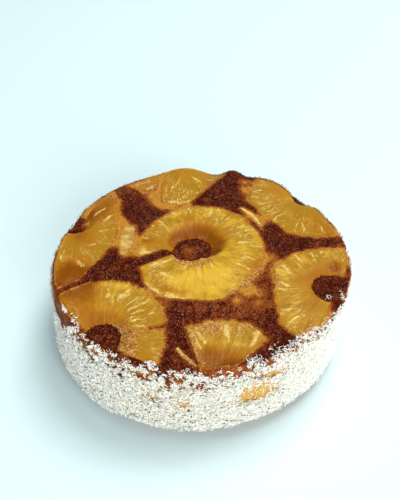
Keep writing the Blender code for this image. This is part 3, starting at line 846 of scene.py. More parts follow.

# %% [markdown]
# ## The fruit
# A pineapple ring is a slab with soft edges whose fibres run out from the hole like spokes.
# Its section is carried round the hole, so the grid's own directions are the fibres' and
# the relief and the colours can be stretched along them. The places of the pale fibres, of
# the amber parts and of the brown film of caramel are read off the photo, in
# millimetres on the top, and so is how dark each piece is.

# %% Strokes on the fruit: two ends and a width in millimetres
PALE_STROKES = (
    (-36, 29, -31, 26, 1), (-21, 45, -16, 38, 1.1), (-9, 50, -6, 41, 1.1), (8, 39, 8.5, 47, 1.8),
    (13, 43, 14, 48, 1.8), (-41, -28, -24, -41, 4.4), (-24, -41, -8, -46, 4),
    (-41, 0, -29, -1.5, 4), (-34, -14, -17, -7, 2.2), (-34, -22, -27, -15, 1.2),
    (25, 23, 32, 27, 1.1), (30, 15, 40, 19, 1.1), (26, 9, 34, 8, 1.2), (34, 5, 41, 2, 1),
    (24, -12, 32, -19, 1.5), (28, -5, 36, -10, 1.5), (-1.6, -12, -0.8, -28, 1.2),
    (-9, -13, -13, -19, 1), (6, -12, 9, -17, 1), (-33, 14, -41, 15, 1), (-30, 34, -25, 28, 0.9),
    (-26, -20, -17, -26, 1.3), (-82, -7, -77, -14, 2.4), (-71, 23, -58, 26, 1),
    (-78, 7, -70, 10, 1), (-93.5, -1, -93, -6, 1.2), (-77, 40, -69, 50, 1.1),
    (-70, 31, -63, 42, 2.2), (-50, -43, -44, -34, 2.2), (-46, -61, -37, -57, 0.9),
    (-45, -53, -36, -47, 1.1), (-41, -65, -31, -66, 1.6), (-58, -33, -57, -41, 1.2),
    (-47, -49, -38, -41, 0.8), (-46, -57, -35, -52, 0.8), (-52, -45, -49, -38, 0.8),
    (-43, -61, -33, -60, 0.8), (-55, -46, -54, -38, 0.7), (-40, -55, -32, -52, 0.7),
    (-38, -48, -31, -44, 1), (-4, -68, 2, -79, 2.2), (13, -65, 15, -76, 3),
    (34, -69, 27, -82, 2.8), (-8, -67, 0, -84, 0.9), (22, -66, 21, -74, 1),
    (53, -14, 58, -24, 1.9), (49, -30, 57, -36, 1.3), (47, -37, 57, -40, 1),
    (48, -55, 58, -54, 1.3), (74, -4, 76, -15, 1.1), (52, -64, 60, -58, 1.3),
    (62, -5, 67, -14, 1.2), (73, 17, 72, 29, 1.1), (40, 66, 50, 69, 1.5), (64, 17, 72, 32, 0.9),
    (86, 14, 84, 26, 0.9), (52, 30, 60, 40, 0.9), (44, 50, 56, 54, 0.9), (-26, 56, -5, 55, 3.2),
    (-6, 87, 3, 79, 1.2), (7, 85, 16, 81, 1.1), (-22, 70, -14, 84, 0.9), (-50, 78, -36, 84, 2),
    (-40, 73, -33, 80, 1.6), (30, -40, 38, -34, 1.6), (-12, -70, -8, -66, 1),
)
DARK_STROKES = ((0.4, -11, 1.0, -23, 0.7), (-24, -31, -27, -34, 1.2), (86, -13, 87, -22, 2.0))

# %% Amber, film and brightness, as x, y, strength and spread
# The spots on the upper left ring also darken it, partly as painted shade
AMBER_SPOTS = (
    (-34, 13, 0.3, 6), (39, -13, 0.45, 6), (37, -26, 0.45, 6), (-29, -31, 0.35, 5),
    (18, 44, 0.25, 5), (-38, 12, 0.3, 5), (-5, 24, 0.45, 9), (-70, -40, 0.45, 7),
    (-65, -60, 0.6, 7), (-52, -57, 0.45, 6), (-82, -52, 0.35, 7), (-42, -77, 0.6, 4),
    (-34, -92, 0.35, 6), (2, -88, 0.65, 7), (15, -93, 0.7, 7), (30, -84, 0.35, 6),
    (66, -30, 0.4, 6), (70, -50, 0.35, 6), (87, -18, 0.9, 4.5), (84, 26, 0.35, 10),
    (92, 10, 0.35, 7), (60, 70, 0.3, 9), (12, 80, 0.5, 7), (-28, 78, 0.35, 5), (-12, 100, 0.5, 7),
    (-82, 42, 0.6, 6), (-66, 60, 0.45, 7), (-84, 20, 0.45, 6), (-86, -14, 0.55, 8),
    (-82, -24, 0.85, 9), (-86, -34, 0.7, 6), (-45, 80, 0.45, 8), (-21, -36, 0.3, 5),
    (-10, -39, 0.3, 5), (-71, 45, 0.6, 9), (-72, -26, 0.5, 7), (-78, 12, 0.25, 9),
    (62, -68, 0.35, 6),
)
FILM_SPOTS = (
    (30, -34, 0.75, 6), (19, -43, 0.45, 5), (40, -22, 0.6, 5), (-74, -37, 0.3, 4),
    (-82, -38, 0.35, 4), (-82, -26, 0.5, 6), (-64, -33, 0.25, 4), (-42, -79, 0.5, 5),
    (48, -32, 0.5, 4), (49, -56, 0.4, 5), (-50, 82, 0.55, 7), (-36, 78, 0.4, 6),
    (14, 82, 0.45, 6), (4, 68, 0.35, 5), (-26, 58, 0.3, 4), (42, 72, 0.45, 5), (62, 82, 0.45, 6),
    (92, 30, 0.35, 7), (84, 46, 0.35, 6), (-84, 44, 0.5, 6), (-66, 62, 0.45, 6),
    (-16, 15, 0.45, 4), (3, 19, 0.4, 3), (8, -68, 0.45, 5), (-15, -8, 0.65, 3),
    (-9, -11, 0.75, 3), (-2, -12, 0.75, 3), (5, -9, 0.7, 3), (10, -4, 0.5, 3),
    (-16, 12, 0.5, 2.5), (-48, -67, 0.45, 5), (-40, -70, 0.4, 5), (-8, -74, 0.5, 5),
    (4, -66, 0.5, 5), (24, -70, 0.5, 6), (6, -92, 0.4, 6), (-38, -86, 0.3, 5), (37, -29, 0.65, 5),
    (45, -20, 0.4, 4), (-5, -91, 0.6, 4), (-11, -85, 0.6, 4),
)
BRIGHT_SPOTS = (
    (8, -28, 1.2, 9), (-10, -28, 1, 8), (24, -8, 0.4, 8), (-52, -42, 0.5, 8), (-86, -4, 0.8, 6),
    (-70, -14, 0.5, 6), (0, 70, 0.3, 6), (12, -72, 0.4, 6), (54, -30, 0.4, 8), (-28, 14, -0.7, 7),
    (80, 22, -0.8, 9),
)
# How dark each piece is: partly its own tone and partly painted shade, which darkens the pieces at
# the back and the left
FRUIT_TONE_AND_SHADE = {
    "ring_centre": 0.5, "ring_front_left": 0.75, "ring_front_left_end": 1.15,
    "ring_left": 1.6, "ring_left_top": 2.9, "ring_back": 1.35, "ring_back_left": 1.6,
    "ring_back_right": 1.0, "ring_right": 0.75, "ring_front": 0.85, "sliver_left": 0.3,
    "fibre_strip": -0.6, "fibre_front": 0.3,
}

# %% Share of the strokes


def near_strokes(strokes, x, y):
    """Share of a stroke: 1 in the middle of its line, less towards the line's ends, and
    falling off as exp(-(distance / width)^2)."""
    total = np.zeros(np.shape(x))
    x = x + 0.0007 * soft_noise(x, y, 0.0021, 73)
    y = y + 0.0007 * soft_noise(x, y, 0.0021, 74)
    frayed = 0.85 + 0.55 * soft_noise(x, y, 0.0013, 75)
    for x1, y1, x2, y2, width in strokes:
        ax, ay, bx, by = x1 * 1e-3, y1 * 1e-3, (x2 - x1) * 1e-3, (y2 - y1) * 1e-3
        along = np.clip(((x - ax) * bx + (y - ay) * by) / (bx * bx + by * by), 0.0, 1.0)
        away = np.hypot(x - ax - along * bx, y - ay - along * by)
        taper = width * 1e-3 * (1.2 - 0.6 * along) * frayed
        faded = 1.0 - 0.55 * np.abs(2.0 * along - 1.0) ** 3
        total = np.maximum(total, faded * np.exp(-((away / taper) ** 2)))
    return total


# %% Section and relief of a piece
EDGE_ROUND = 0.0014
WALL_STEPS = 5
ROUND_STEPS = 6
AROUND_STEP = 0.00052
ACROSS_STEP = 0.00050


def fruit_section(inner, outer, steps):
    """Radius and drop below the top along a section, for every angle: up the inner wall,
    round the edge, across the top, round the outer edge and down. Arrays are (angle, step)."""
    width = (outer - inner)[:, None]
    soft = np.minimum(EDGE_ROUND, 0.3 * width)
    turn = np.linspace(0.0, math.pi / 2.0, ROUND_STEPS)[None, :]
    up = np.linspace(1.0, 0.0, WALL_STEPS, endpoint=False)[None, :]
    over = np.linspace(0.0, 1.0, steps + 2)[None, 1:-1]
    arc_in, arc_down = soft * (1.0 - np.cos(turn)), soft * (1.0 - np.sin(turn))
    wall = soft + (PIECE_DEPTH - EDGE_ROUND) * up
    from_inner = np.concatenate([0.0 * wall, arc_in, soft + (width - 2.0 * soft) * over,
                                 width - arc_in[:, ::-1], width + 0.0 * wall], 1)
    drop = np.concatenate([wall, arc_down, 0.0 * width * over, arc_down[:, ::-1],
                           wall[:, ::-1]], 1)
    return from_inner, drop


# %% Relief and grid of a piece
FIBRE_STEP = 0.0023
FIBRE_RADIUS = 0.030
DEEP_DENT = 0.003
FRINGE_LENGTH = 0.0036
BORDER_RUN = 0.0020
TRIAL_ANGLES = 400


def fibre_relief(arc, radius, seed):
    """Relief of the flesh: broad segments, fibres along the radius and fine threads."""
    segments = soft_noise(arc, radius * 0.45, 0.0062, seed)
    fibres = soft_noise(arc + 0.0006 * segments, radius * 0.22, FIBRE_STEP, seed + 1)
    threads = soft_noise(arc, radius * 0.25, 0.0009, seed + 2)
    return 0.00026 * segments + 0.00014 * fibres + 0.00006 * threads


def fruit_grid(piece):
    """The sections of a piece side by side, as arrays (angle, step): places on the top,
    the arc and radius round the hole, distance from the inner edge, drop below the top,
    width, distance from the nearest edge, and width of the fall towards the hole."""
    first, last = piece["span"]
    inner, outer = piece_reach(piece, np.linspace(first, last, TRIAL_ANGLES))
    count = max(40, int(np.mean(outer) * (last - first) / AROUND_STEP))
    steps = max(10, int(np.max(outer - inner) / ACROSS_STEP))
    angle = np.linspace(first, last, count)
    inner, outer = piece_reach(piece, angle)
    from_inner, drop = fruit_section(inner, outer, steps)
    angle, inner, outer = angle[:, None], inner[:, None], outer[:, None]
    radius = inner + from_inner
    share = np.linspace(0.0, 1.0, count)[:, None]
    gap, last_gap = end_gaps(piece, radius, inner, outer)
    turn = angle + ((1.0 - share) * gap - share * last_gap) / radius
    edge = np.minimum(outer - radius, from_inner)
    edge = np.minimum(edge, (turn - first) * radius - gap)
    edge = np.minimum(edge, (last - turn) * radius - last_gap)
    flat, rise, aside = piece["slope"]
    slope = np.maximum(0.0020, flat + rise * np.sin(angle) + aside * np.cos(angle))
    x = piece["hole"][0] + radius * np.cos(turn)
    y = piece["hole"][1] + radius * np.sin(turn)
    return {"x": x, "y": y, "arc": turn * FIBRE_RADIUS, "radius": radius,
            "from_inner": from_inner, "drop": drop, "width": outer - inner,
            "edge": edge, "slope": slope}


# %% Height and marks of a piece


def fringe(piece, grid):
    """Share of pale frayed fibres at the edge of a deep hole, where the fall is steep."""
    steep = 1.0 - smooth_step(0.0030, 0.0065, grid["slope"])
    noise = soft_noise(grid["arc"], grid["radius"] * 0.2, 0.0042, piece["seed"] + 3)
    near = np.exp(-((grid["from_inner"] / FRINGE_LENGTH) ** 2))
    return smooth_step(-0.1, 0.4, noise) * near * steep * (piece["dent"] > DEEP_DENT)


def fruit_height(piece, grid, pale, dark):
    """Height of a piece: the top's lie less the section's drop and the fall towards the
    hole, plus the relief of its fibres, which fades out at the edges."""
    ease = np.maximum(1.35 * grid["slope"], 0.0032)
    fall = piece["dent"] * (1.0 - smooth_step(0.0, 1.0, grid["from_inner"] / ease))
    relief = fibre_relief(grid["arc"], grid["radius"], piece["seed"])
    relief = relief + 0.00018 * pale - 0.0006 * dark
    on_top = smooth_step(0.0, EDGE_ROUND, grid["edge"])
    z = lie(grid["x"], grid["y"]) - grid["drop"] - fall + on_top * relief
    bottom = CAKE_HEIGHT - PIECE_DEPTH
    return np.where(grid["drop"] >= PIECE_DEPTH - 1e-6, bottom, np.maximum(z, bottom))


def keep_marks(made, name, piece, grid, pale, dark):
    """The values that the material reads. Amber and film lie at their listed places, and both
    at the edges; amber in the fall towards a hole is partly the fruit's own and partly painted
    shade."""
    x, y = grid["x"], grid["y"]
    ragged = 0.75 + 0.35 * soft_noise(x, y, 0.0045, 71) + 0.30 * soft_noise(x, y, 0.0016, 72)
    border = np.exp(-np.maximum(grid["edge"], 0.0) / BORDER_RUN)
    # painted shade: the fall into a hole is darkened towards amber, more where it is steep
    hollow_amber_shade = 1.0 - smooth_step(0.45, 1.55, grid["from_inner"] / grid["slope"])
    hollow_amber_shade = hollow_amber_shade * smooth_step(0.0025, 0.0070, grid["slope"])
    hollow_amber_shade = hollow_amber_shade * (0.5 if piece["dent"] < DEEP_DENT else 0.9)
    amber = np.maximum(millimetre_spots(AMBER_SPOTS, x, y), hollow_amber_shade)
    amber = np.maximum(amber, 0.65 * border * ragged)
    film = millimetre_spots(FILM_SPOTS, x, y) + 0.45 * border * ragged
    fraction = grid["from_inner"] / grid["width"]
    if "line" in piece:
        film, amber, fraction = 0.6 * film, 0.45 * amber, fraction + 0.5
    keep_value(made, "amber", np.clip(amber * (0.8 + 0.3 * ragged), 0.0, 1.0))
    keep_value(made, "film", np.clip(film + 0.6 * dark, 0.0, 1.0))
    keep_value(made, "pale", np.clip(pale * (0.35 + 0.9 * ragged), 0.0, 1.0))
    keep_value(made, "outer", smooth_step(0.25, 0.65, fraction) * (1.0 - border))
    keep_value(made, "shade", FRUIT_TONE_AND_SHADE[name] - millimetre_spots(BRIGHT_SPOTS, x, y))


# %% One piece of fruit


def fruit_piece(name, piece, material):
    """One piece of fruit: a closed strip of sections round the hole, with flat ends."""
    grid = fruit_grid(piece)
    x, y = grid["x"], grid["y"]
    pale = np.maximum(near_strokes(PALE_STROKES, x, y), 1.3 * fringe(piece, grid))
    dark = near_strokes(DARK_STROKES, x, y)
    z = fruit_height(piece, grid, pale, dark)
    points = np.stack([x + TOP_CENTRE[0], y + TOP_CENTRE[1], z], -1).reshape(-1, 3)
    rows, columns = x.shape
    first_end = np.arange(columns)[None, :]
    last_end = ((rows - 1) * columns + np.arange(columns))[None, ::-1]
    faces = [grid_faces(rows, columns, around=True)[:, ::-1], first_end, last_end]
    made = mesh_piece("fruit_" + name, points, faces, material)
    keep_marks(made, name, piece, grid, pale, dark)
    keep_place(made, "fibre", np.stack([grid["arc"], grid["radius"], z], -1).reshape(-1, 3))
    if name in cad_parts:
        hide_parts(name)


# %% [markdown]
# ## Flesh of the fruit
# Baked pineapple is golden and a little see-through: darker amber where it is thin and
# soaked, and darker amber down the fall into a hole, which is partly painted shade in the
# hollow; pale where fibres stand out, with clustered pale flecks that are partly painted
# highlights; and with a thin film where caramel and crumb stick to it, which is browner on
# amber fruit. Pieces at the back and the left are darker, partly as painted shade. A low
# roughness and a little subsurface light give it its wet glow.

# %% Material of the fruit
FLESH_LIGHT = colour(224, 178, 56)
FLESH_DARK = colour(172, 124, 26)
FLESH_ORANGE = colour(186, 112, 22)
FLESH_AMBER = colour(138, 74, 4)
FLESH_PALE = colour(240, 212, 128)
FILM_BROWN = colour(148, 80, 24)
FILM_GOLD = colour(219, 168, 96)


def flesh_material(name, light, dark):
    """Streaks and flecks along the fibres, the flecks partly painted highlights, then amber, pale
    and film by the kept values.
    """
    made, tree, shader = finish(name, {
        "Roughness": 0.26, "Specular IOR Level": 0.06, "Subsurface Weight": 0.25,
        "Subsurface Radius": (1.0, 0.55, 0.15), "Subsurface Scale": 0.003})
    fibre = add_node(tree, "ShaderNodeAttribute", {}, attribute_name="fibre").outputs["Vector"]
    streak = noise_on(tree, fibre, (420.0, 130.0, 60.0), 3.0, 0.5)
    thread = noise_on(tree, fibre, (1300.0, 300.0, 100.0), 2.0)
    tone = combine(tree, "MULTIPLY", streak, 0.40)
    tone = add_part(tree, tone, even_noise(tree, 80.0, 2.0), 0.60)
    tone = add_part(tree, tone, read_value(tree, "shade"), -0.22)
    flesh = fade(tree, tone, 0.28, 0.64, dark, light)
    cluster = spread(tree, even_noise(tree, 120.0, 1.0), 0.38, 0.58)
    wide = noise_on(tree, fibre, (800.0, 210.0, 100.0), 3.0, 0.6)
    # pale flecks, clustered and towards the outer part: partly pale fibres, partly painted
    # highlights
    fibre_fleck_and_highlight = combine(tree, "MULTIPLY", spread(tree, thread, 0.54, 0.70), 0.55)
    fibre_fleck_and_highlight = add_part(tree, fibre_fleck_and_highlight, spread(tree, wide, 0.52, 0.70), 0.6)
    fibre_fleck_and_highlight = combine(tree, "MULTIPLY", fibre_fleck_and_highlight, cluster)
    fibre_fleck_and_highlight = combine(tree, "MULTIPLY", fibre_fleck_and_highlight, read_value(tree, "outer"))
    flesh = blend_colour(tree, fibre_fleck_and_highlight, flesh, FLESH_PALE)
    amber = read_value(tree, "amber")
    warm = combine(tree, "MULTIPLY", spread(tree, amber, 0.0, 0.6), 0.62)
    flesh = blend_colour(tree, warm, flesh, FLESH_ORANGE)
    flesh = fade(tree, amber, 0.2, 1.0, flesh, FLESH_AMBER)
    frayed = add_part(tree, read_value(tree, "pale"), thread, 2.0)
    torn = combine(tree, "MULTIPLY", spread(tree, frayed, 1.25, 2.20), 0.78)
    flesh = blend_colour(tree, torn, flesh, FLESH_PALE)
    grain = spread(tree, even_noise(tree, 900.0), 0.38, 0.64)
    film = blend_colour(tree, grain, FILM_BROWN, FILM_GOLD)
    baked = combine(tree, "MULTIPLY", spread(tree, amber, 0.40, 0.95), 0.75)
    film = blend_colour(tree, baked, film, FILM_BROWN)
    stuck = combine(tree, "ADD", read_value(tree, "film"), even_noise(tree, 800.0))
    stuck = combine(tree, "MULTIPLY", spread(tree, stuck, 0.76, 1.20), 0.85)
    flesh = blend_colour(tree, stuck, flesh, film)
    join_finish(tree, shader, flesh, add_part(tree, thread, streak, 0.4), 0.00025)
    return made


# %% Build the fruit
golden = flesh_material("pineapple_flesh", FLESH_LIGHT, FLESH_DARK)
pale_flesh = flesh_material("pineapple_edge", colour(236, 202, 118), colour(174, 122, 50))
for name, piece in PIECES.items():
    fruit_piece(name, piece, golden)
for name, piece in STRIPS.items():
    fruit_piece(name, piece, pale_flesh)

# %% [markdown]
# ## Loose crumbs
# Bits of crumb stand up from the caramelised top and stick to the edges of the fruit. Each
# one is a lump with eight sides, all joined in a single mesh: six corners with random
# lengths, turned at random and made for every crumb at once.

# %% Small lumpy bits
BIT_POINTS = np.array([(1, 0, 0), (-1, 0, 0), (0, 1, 0), (0, -1, 0), (0, 0, 1), (0, 0, -1)], float)
BIT_FACES = np.array([(0, 2, 4), (2, 1, 4), (1, 3, 4), (3, 0, 4),
                      (2, 0, 5), (1, 2, 5), (3, 1, 5), (0, 3, 5)])


def lumpy_bits(name, places, sizes, material, seed):
    """A joined mesh of bits: the six corners, turned and stretched at random, times size."""
    rng = np.random.default_rng(seed)
    count = len(places)
    turn, nod = rng.uniform(0.0, math.tau, (2, count, 1))
    local = BIT_POINTS[None] * rng.uniform(0.55, 1.2, (count, 6, 1))
    x = local[..., 0] * np.cos(nod) + local[..., 2] * np.sin(nod)
    z = local[..., 2] * np.cos(nod) - local[..., 0] * np.sin(nod)
    y = local[..., 1]
    turned = np.stack([x * np.cos(turn) - y * np.sin(turn),
                       x * np.sin(turn) + y * np.cos(turn), z], -1)
    points = turned * sizes[:, None, None] + places[:, None, :]
    faces = BIT_FACES[None] + 6 * np.arange(count)[:, None, None]
    made = mesh_piece(name, points.reshape(-1, 3), [faces.reshape(-1, 3)], material,
                      smooth=False)
    keep_value(made, "tone", np.repeat(rng.random(count), 6))


# %% Material of the loose crumbs


def bit_material(name, dark, light):
    """Each bit has a tone of its own between a dark and a light colour."""
    made, tree, shader = finish(name, {"Roughness": 0.16, "Specular IOR Level": 0.22})
    fine = even_noise(tree, 1500.0, 2.0)
    tone = combine(tree, "MULTIPLY", read_value(tree, "tone"), fine)
    body = fade(tree, tone, 0.25, 0.66, dark, light)
    join_finish(tree, shader, body, fine, 0.0003)
    return made


# %% Crumbs over the top
CRUMB_BITS = 20000
CRUMB_DRAWS = 60000
SOFT_STEP = 0.0010


def draw_on_top(rng, count, reach):
    """Places drawn evenly over the top out to a reach: the radius is the reach times the
    square root of a draw."""
    turn = rng.uniform(0.0, math.tau, count)
    out = reach * np.sqrt(rng.random(count))
    return out * np.cos(turn), out * np.sin(turn)


def fruit_share(x, y):
    """0 on the crumb and 1 on the fruit, with a soft step at a piece's edge."""
    return smooth_step(0.0, SOFT_STEP, depth_inside(x, y))


def set_on_top(x, y, lift=0.0):
    """Places on the crumb or on the fruit, lifted a little."""
    share = fruit_share(x, y)
    z = crumb_surface(x, y)[0] * (1.0 - share) + lie(x, y) * share
    return np.stack([x + TOP_CENTRE[0], y + TOP_CENTRE[1], z + lift], -1)


rng = np.random.default_rng(81)
x, y = draw_on_top(rng, CRUMB_DRAWS, TOP_RADIUS - 0.0016)
depth = depth_inside(x, y)
stuck = 1.3 * millimetre_spots(FILM_SPOTS, x, y)
stuck = stuck + 0.9 * np.exp(-np.maximum(depth, 0.0) / 0.0017)
on_crumb = rng.random(CRUMB_DRAWS) < 1.0 - 1.4 * soaked_share(x, y)
on_fruit = rng.random(CRUMB_DRAWS) < 0.26 * stuck - 0.05
kept = np.flatnonzero(np.where(depth < 0.0, on_crumb, on_fruit))[:CRUMB_BITS]
x, y = x[kept], y[kept]
sizes = rng.uniform(0.00020, 0.00048, len(kept)) * (1.0 - 0.35 * fruit_share(x, y))
loose_crumb = bit_material("loose_crumb", colour(36, 4, 2), colour(190, 112, 64))
lumpy_bits("crumb_bits", set_on_top(x, y), sizes, loose_crumb, 82)

# %% [markdown]
# ## Painted glints
# Tiny pale grains in clusters are painted highlights: they stand for the glints of light on
# the wet, sugary crumb, and some sit on the brown film of the fruit too. They are the same lumpy
# bits, smaller and much paler.

# %% Painted glints
GLINT_DRAWS = 12000
GLINT_LIFT = 0.0002
HOLE_MIDDLE = (-0.005, 0.002)
HOLE_REACH = 0.012
rng = np.random.default_rng(83)
x, y = draw_on_top(rng, GLINT_DRAWS, TOP_RADIUS - 0.0040)
cluster = smooth_step(-0.5, 0.7, soft_noise(x, y, 0.0065, 84))
from_middle = np.hypot(x - HOLE_MIDDLE[0], y - HOLE_MIDDLE[1])
in_hole = np.exp(-((from_middle / HOLE_REACH) ** 4))
on_crumb = (depth_inside(x, y) < 0.0) * (0.15 + 0.75 * cluster + in_hole)
on_film = 0.5 * np.clip(millimetre_spots(FILM_SPOTS, x, y) - 0.15, 0.0, 1.0)
kept = np.flatnonzero(rng.random(GLINT_DRAWS) < np.maximum(on_crumb, on_film))
sizes = rng.uniform(0.00016, 0.00030, len(kept))
# painted highlight: the grains' pale colour stands for glints of light
painted_glint_finish = bit_material("painted_glint_finish", colour(150, 84, 60), colour(252, 222, 200))
places = set_on_top(x[kept], y[kept], GLINT_LIFT)
lumpy_bits("painted_glints", places, sizes, painted_glint_finish, 85)

# %% [markdown]
# ## The coconut coat
# Desiccated coconut is dust, fine chips, thin shreds and longer curls, pressed on by hand.
# Each is a strip with a three-sided section, bent where it is long; thousands are worked
# out together and joined. They are scattered along a path that climbs the wall, turns over
# the edge and runs a little way in over the top at the front.

# %% A path up the wall and over the edge
CORNER_RUN = TOP_CORNER * math.pi / 2.0
FARTHEST_RUN = 0.009
TUFTS = (
    (79, -43, 6, 1.2), (86, -41, 2, 1.0), (90, -45, 2, 1.0), (-85, -51, 8, 2.0),
    (-76, -60, 7, 2.0), (-29, -93, 4, 1.2), (28, -92, 6, 2.5), (62, -74, 7, 2.5),
    (44, -84, 8, 3.0), (-93, 34, 4, 2.0),
)


def coat_place(angle, run):
    """Place and outward direction at a run in metres from the wall's top: below 0 on the
    wall, then round the corner, then in over the top."""
    rim = rim_height(angle)
    on_wall = np.minimum(run, 0.0)
    bend = np.clip(run, 0.0, CORNER_RUN) / TOP_CORNER
    inward = np.maximum(run - CORNER_RUN, 0.0)
    z = rim - TOP_CORNER + on_wall + TOP_CORNER * np.sin(bend)
    radius = wall_radius(z) + out_of_round(angle) - TOP_CORNER * (1.0 - np.cos(bend)) - inward
    centre = lean(z)
    x, y = centre[0] + radius * np.cos(angle), centre[1] + radius * np.sin(angle)
    flat_x, flat_y = x - TOP_CENTRE[0], y - TOP_CENTRE[1]
    on_top = np.where(depth_inside(flat_x, flat_y) > 0.0, lie(flat_x, flat_y),
                      crumb_height(flat_x, flat_y) + 0.0003)
    z = np.where(inward > 0.0, on_top, z)
    normal = np.stack([np.cos(bend) * np.cos(angle), np.cos(bend) * np.sin(angle),
                       np.sin(bend)], -1)
    return np.stack([x, y, z], -1), normal


# %% Where the bits fall


def climb(angle):
    """How far the coat runs past the wall's top, with a ragged edge of clumps and tufts."""
    arc = angle * TOP_RADIUS
    ragged = soft_noise(arc, 0.0 * arc, 0.0060, 91)
    tufts = soft_noise(arc, 0.0 * arc + 0.5, 0.0022, 92)
    reach = round_the_wall(CLIMB, angle)
    return EDGE_RUN + reach + (0.0009 + 0.25 * np.abs(reach)) * (ragged + 0.7 * tufts)


def scatter(count, seed):
    """Angles and runs of bits that the cover keeps, drawn evenly over the wall and edge."""
    rng = np.random.default_rng(seed)
    draws = 3 * count
    angle = rng.uniform(-math.pi, math.pi, draws)
    low = COAT_FOOT - CAKE_HEIGHT + TOP_CORNER
    run = rng.uniform(low, FARTHEST_RUN, draws)
    arc = angle * TOP_RADIUS
    edge = low + 0.0010 * soft_noise(arc, 0.0 * arc, 0.0035, 93)
    height = CAKE_HEIGHT - TOP_CORNER + np.minimum(run, 0.0)
    keep = 1.0 - bare_share(angle, height)
    thin = 0.9 * thin_share(angle, TOP_CORNER - run) + 0.12
    gaps = soft_noise(arc, run, 0.0021, 94) + 0.6 * soft_noise(arc, run, 0.0050, 95)
    keep = keep * (1.0 - 0.97 * smooth_step(0.75 - 1.1 * thin, 1.0 - 1.1 * thin, gaps))
    top = climb(angle)
    keep = keep * (1.0 - smooth_step(top - 0.0025, top + 0.0008, run)) * (run > edge)
    kept = np.flatnonzero(rng.random(draws) < keep)[:count]
    angle, run = angle[kept], run[kept]
    for x, y, number, around in TUFTS:
        near = 1e-3 * (np.array([x, y]) + rng.normal(0.0, around, (number, 2)))
        reach = CORNER_RUN + TOP_RADIUS - TOP_CORNER - np.hypot(near[:, 0], near[:, 1])
        angle = np.concatenate([angle, np.arctan2(near[:, 1], near[:, 0])])
        run = np.concatenate([run, np.maximum(reach, CORNER_RUN)])
    return angle, run, rng


# %% Shreds and chips
TRIANGLE = np.array([(-0.5, -0.3), (0.5, -0.3), (0.0, 0.6)])
LOWEST_BIT = 0.0012


def strip_faces(count, segments):
    """Sides and end caps of strips with a three-sided section."""
    start = 3 * (segments + 1) * np.arange(count)[:, None, None]
    sides = grid_faces(segments + 1, 3, around=True)[None] + start
    caps = np.array([(2, 1, 0), (0, 1, 2)]) + np.array([[0], [3 * segments]])
    return [sides.reshape(-1, 4), (caps[None] + start).reshape(-1, 3)]


def shreds(name, count, length, width, stand, curl, segments, material, seed):
    """Bent strips: a spine that arcs along a random direction in the coat, and a
    three-sided section that thins towards both ends."""
    angle, run, rng = scatter(count, seed)
    count = len(angle)
    middle, normal = coat_place(angle, run)
    level = np.stack([-np.sin(angle), np.cos(angle), 0.0 * angle], -1)
    upward = np.cross(level, normal)
    turn = rng.uniform(0.0, math.tau, (count, 1))
    along = level * np.cos(turn) + upward * np.sin(turn)
    tilt = np.abs(rng.normal(0.0, stand, (count, 1)))
    axis = along * np.cos(tilt) + normal * np.sin(tilt)
    side = np.cross(normal, along)
    up = np.cross(axis, side)
    long = rng.uniform(length[0], length[1], (count, 1, 1))
    wide = rng.uniform(width[0], width[1], (count, 1, 1))
    bow = rng.uniform(-curl, curl, (count, 1, 1))
    bow_side = rng.uniform(-curl, curl, (count, 1, 1))
    at = np.linspace(-0.5, 0.5, segments + 1)[None, :, None]
    lift = rng.uniform(-0.0003, 0.0007, (count, 1, 1)) + 0.40 * long * np.sin(tilt)[:, None]
    spine = middle[:, None] + axis[:, None] * at * long + normal[:, None] * lift
    spine = spine + (up[:, None] * bow + side[:, None] * bow_side) * long * (1.0 - 4.0 * at * at)
    thin = wide * (1.0 - 0.55 * np.abs(2.0 * at) ** 2)
    across = TRIANGLE[None, None, :, 0, None] * thin[:, :, None]
    over = TRIANGLE[None, None, :, 1, None] * thin[:, :, None] * 0.7
    points = spine[:, :, None] + side[:, None, None] * across + up[:, None, None] * over
    points = points.reshape(-1, 3)
    points[:, 2] = np.maximum(points[:, 2], LOWEST_BIT)
    made = mesh_piece(name, points, strip_faces(count, segments), material,
                      smooth=False)
    keep_value(made, "tone", np.repeat(rng.random(count), 3 * (segments + 1)))


# %% Material of the coconut
COCONUT_WHITE = colour(253, 252, 247)
COCONUT_SHADE = colour(232, 226, 208)


def coconut_material(name):
    """Off white, each bit a little different, softly lit through."""
    made, tree, shader = finish(name, {
        "Roughness": 0.6, "Subsurface Weight": 0.15,
        "Subsurface Radius": (1.0, 0.9, 0.75), "Subsurface Scale": 0.001})
    fine = even_noise(tree, 1300.0, 2.0)
    tone = combine(tree, "MULTIPLY", read_value(tree, "tone"), 0.6)
    tone = add_part(tree, tone, fine, 0.6)
    body = fade(tree, tone, 0.15, 0.75, COCONUT_SHADE, COCONUT_WHITE)
    join_finish(tree, shader, body, fine, 0.0002)
    return made


# %% Scatter the coconut
coconut = coconut_material("coconut")
shreds("coconut_dust", 20000, (0.0005, 0.0010), (0.0005, 0.0008), 0.45, 0.0, 1, coconut, 204)
shreds("coconut_chips", 24000, (0.0008, 0.0016), (0.00055, 0.0010), 0.35, 0.0, 1, coconut, 201)
shreds("coconut_shreds", 13500, (0.0015, 0.0026), (0.00045, 0.0008), 0.28, 0.14, 2, coconut, 202)
shreds("coconut_curls", 3600, (0.0023, 0.0040), (0.00045, 0.0007), 0.34, 0.24, 4, coconut, 203)

# %% [markdown]
# ## Floor, light and camera
# A plain pale floor and soft studio light: a large panel from the right and behind, a fill
# from the front and a pale sky. The camera stands where the photographer's did, worked out
# from the ellipse of the cake's top edge and that of the coat's lower edge. Its lens is
# 1.7% longer than worked out, so that the outline with its crumb and coconut matches.

# %% Stage and lights


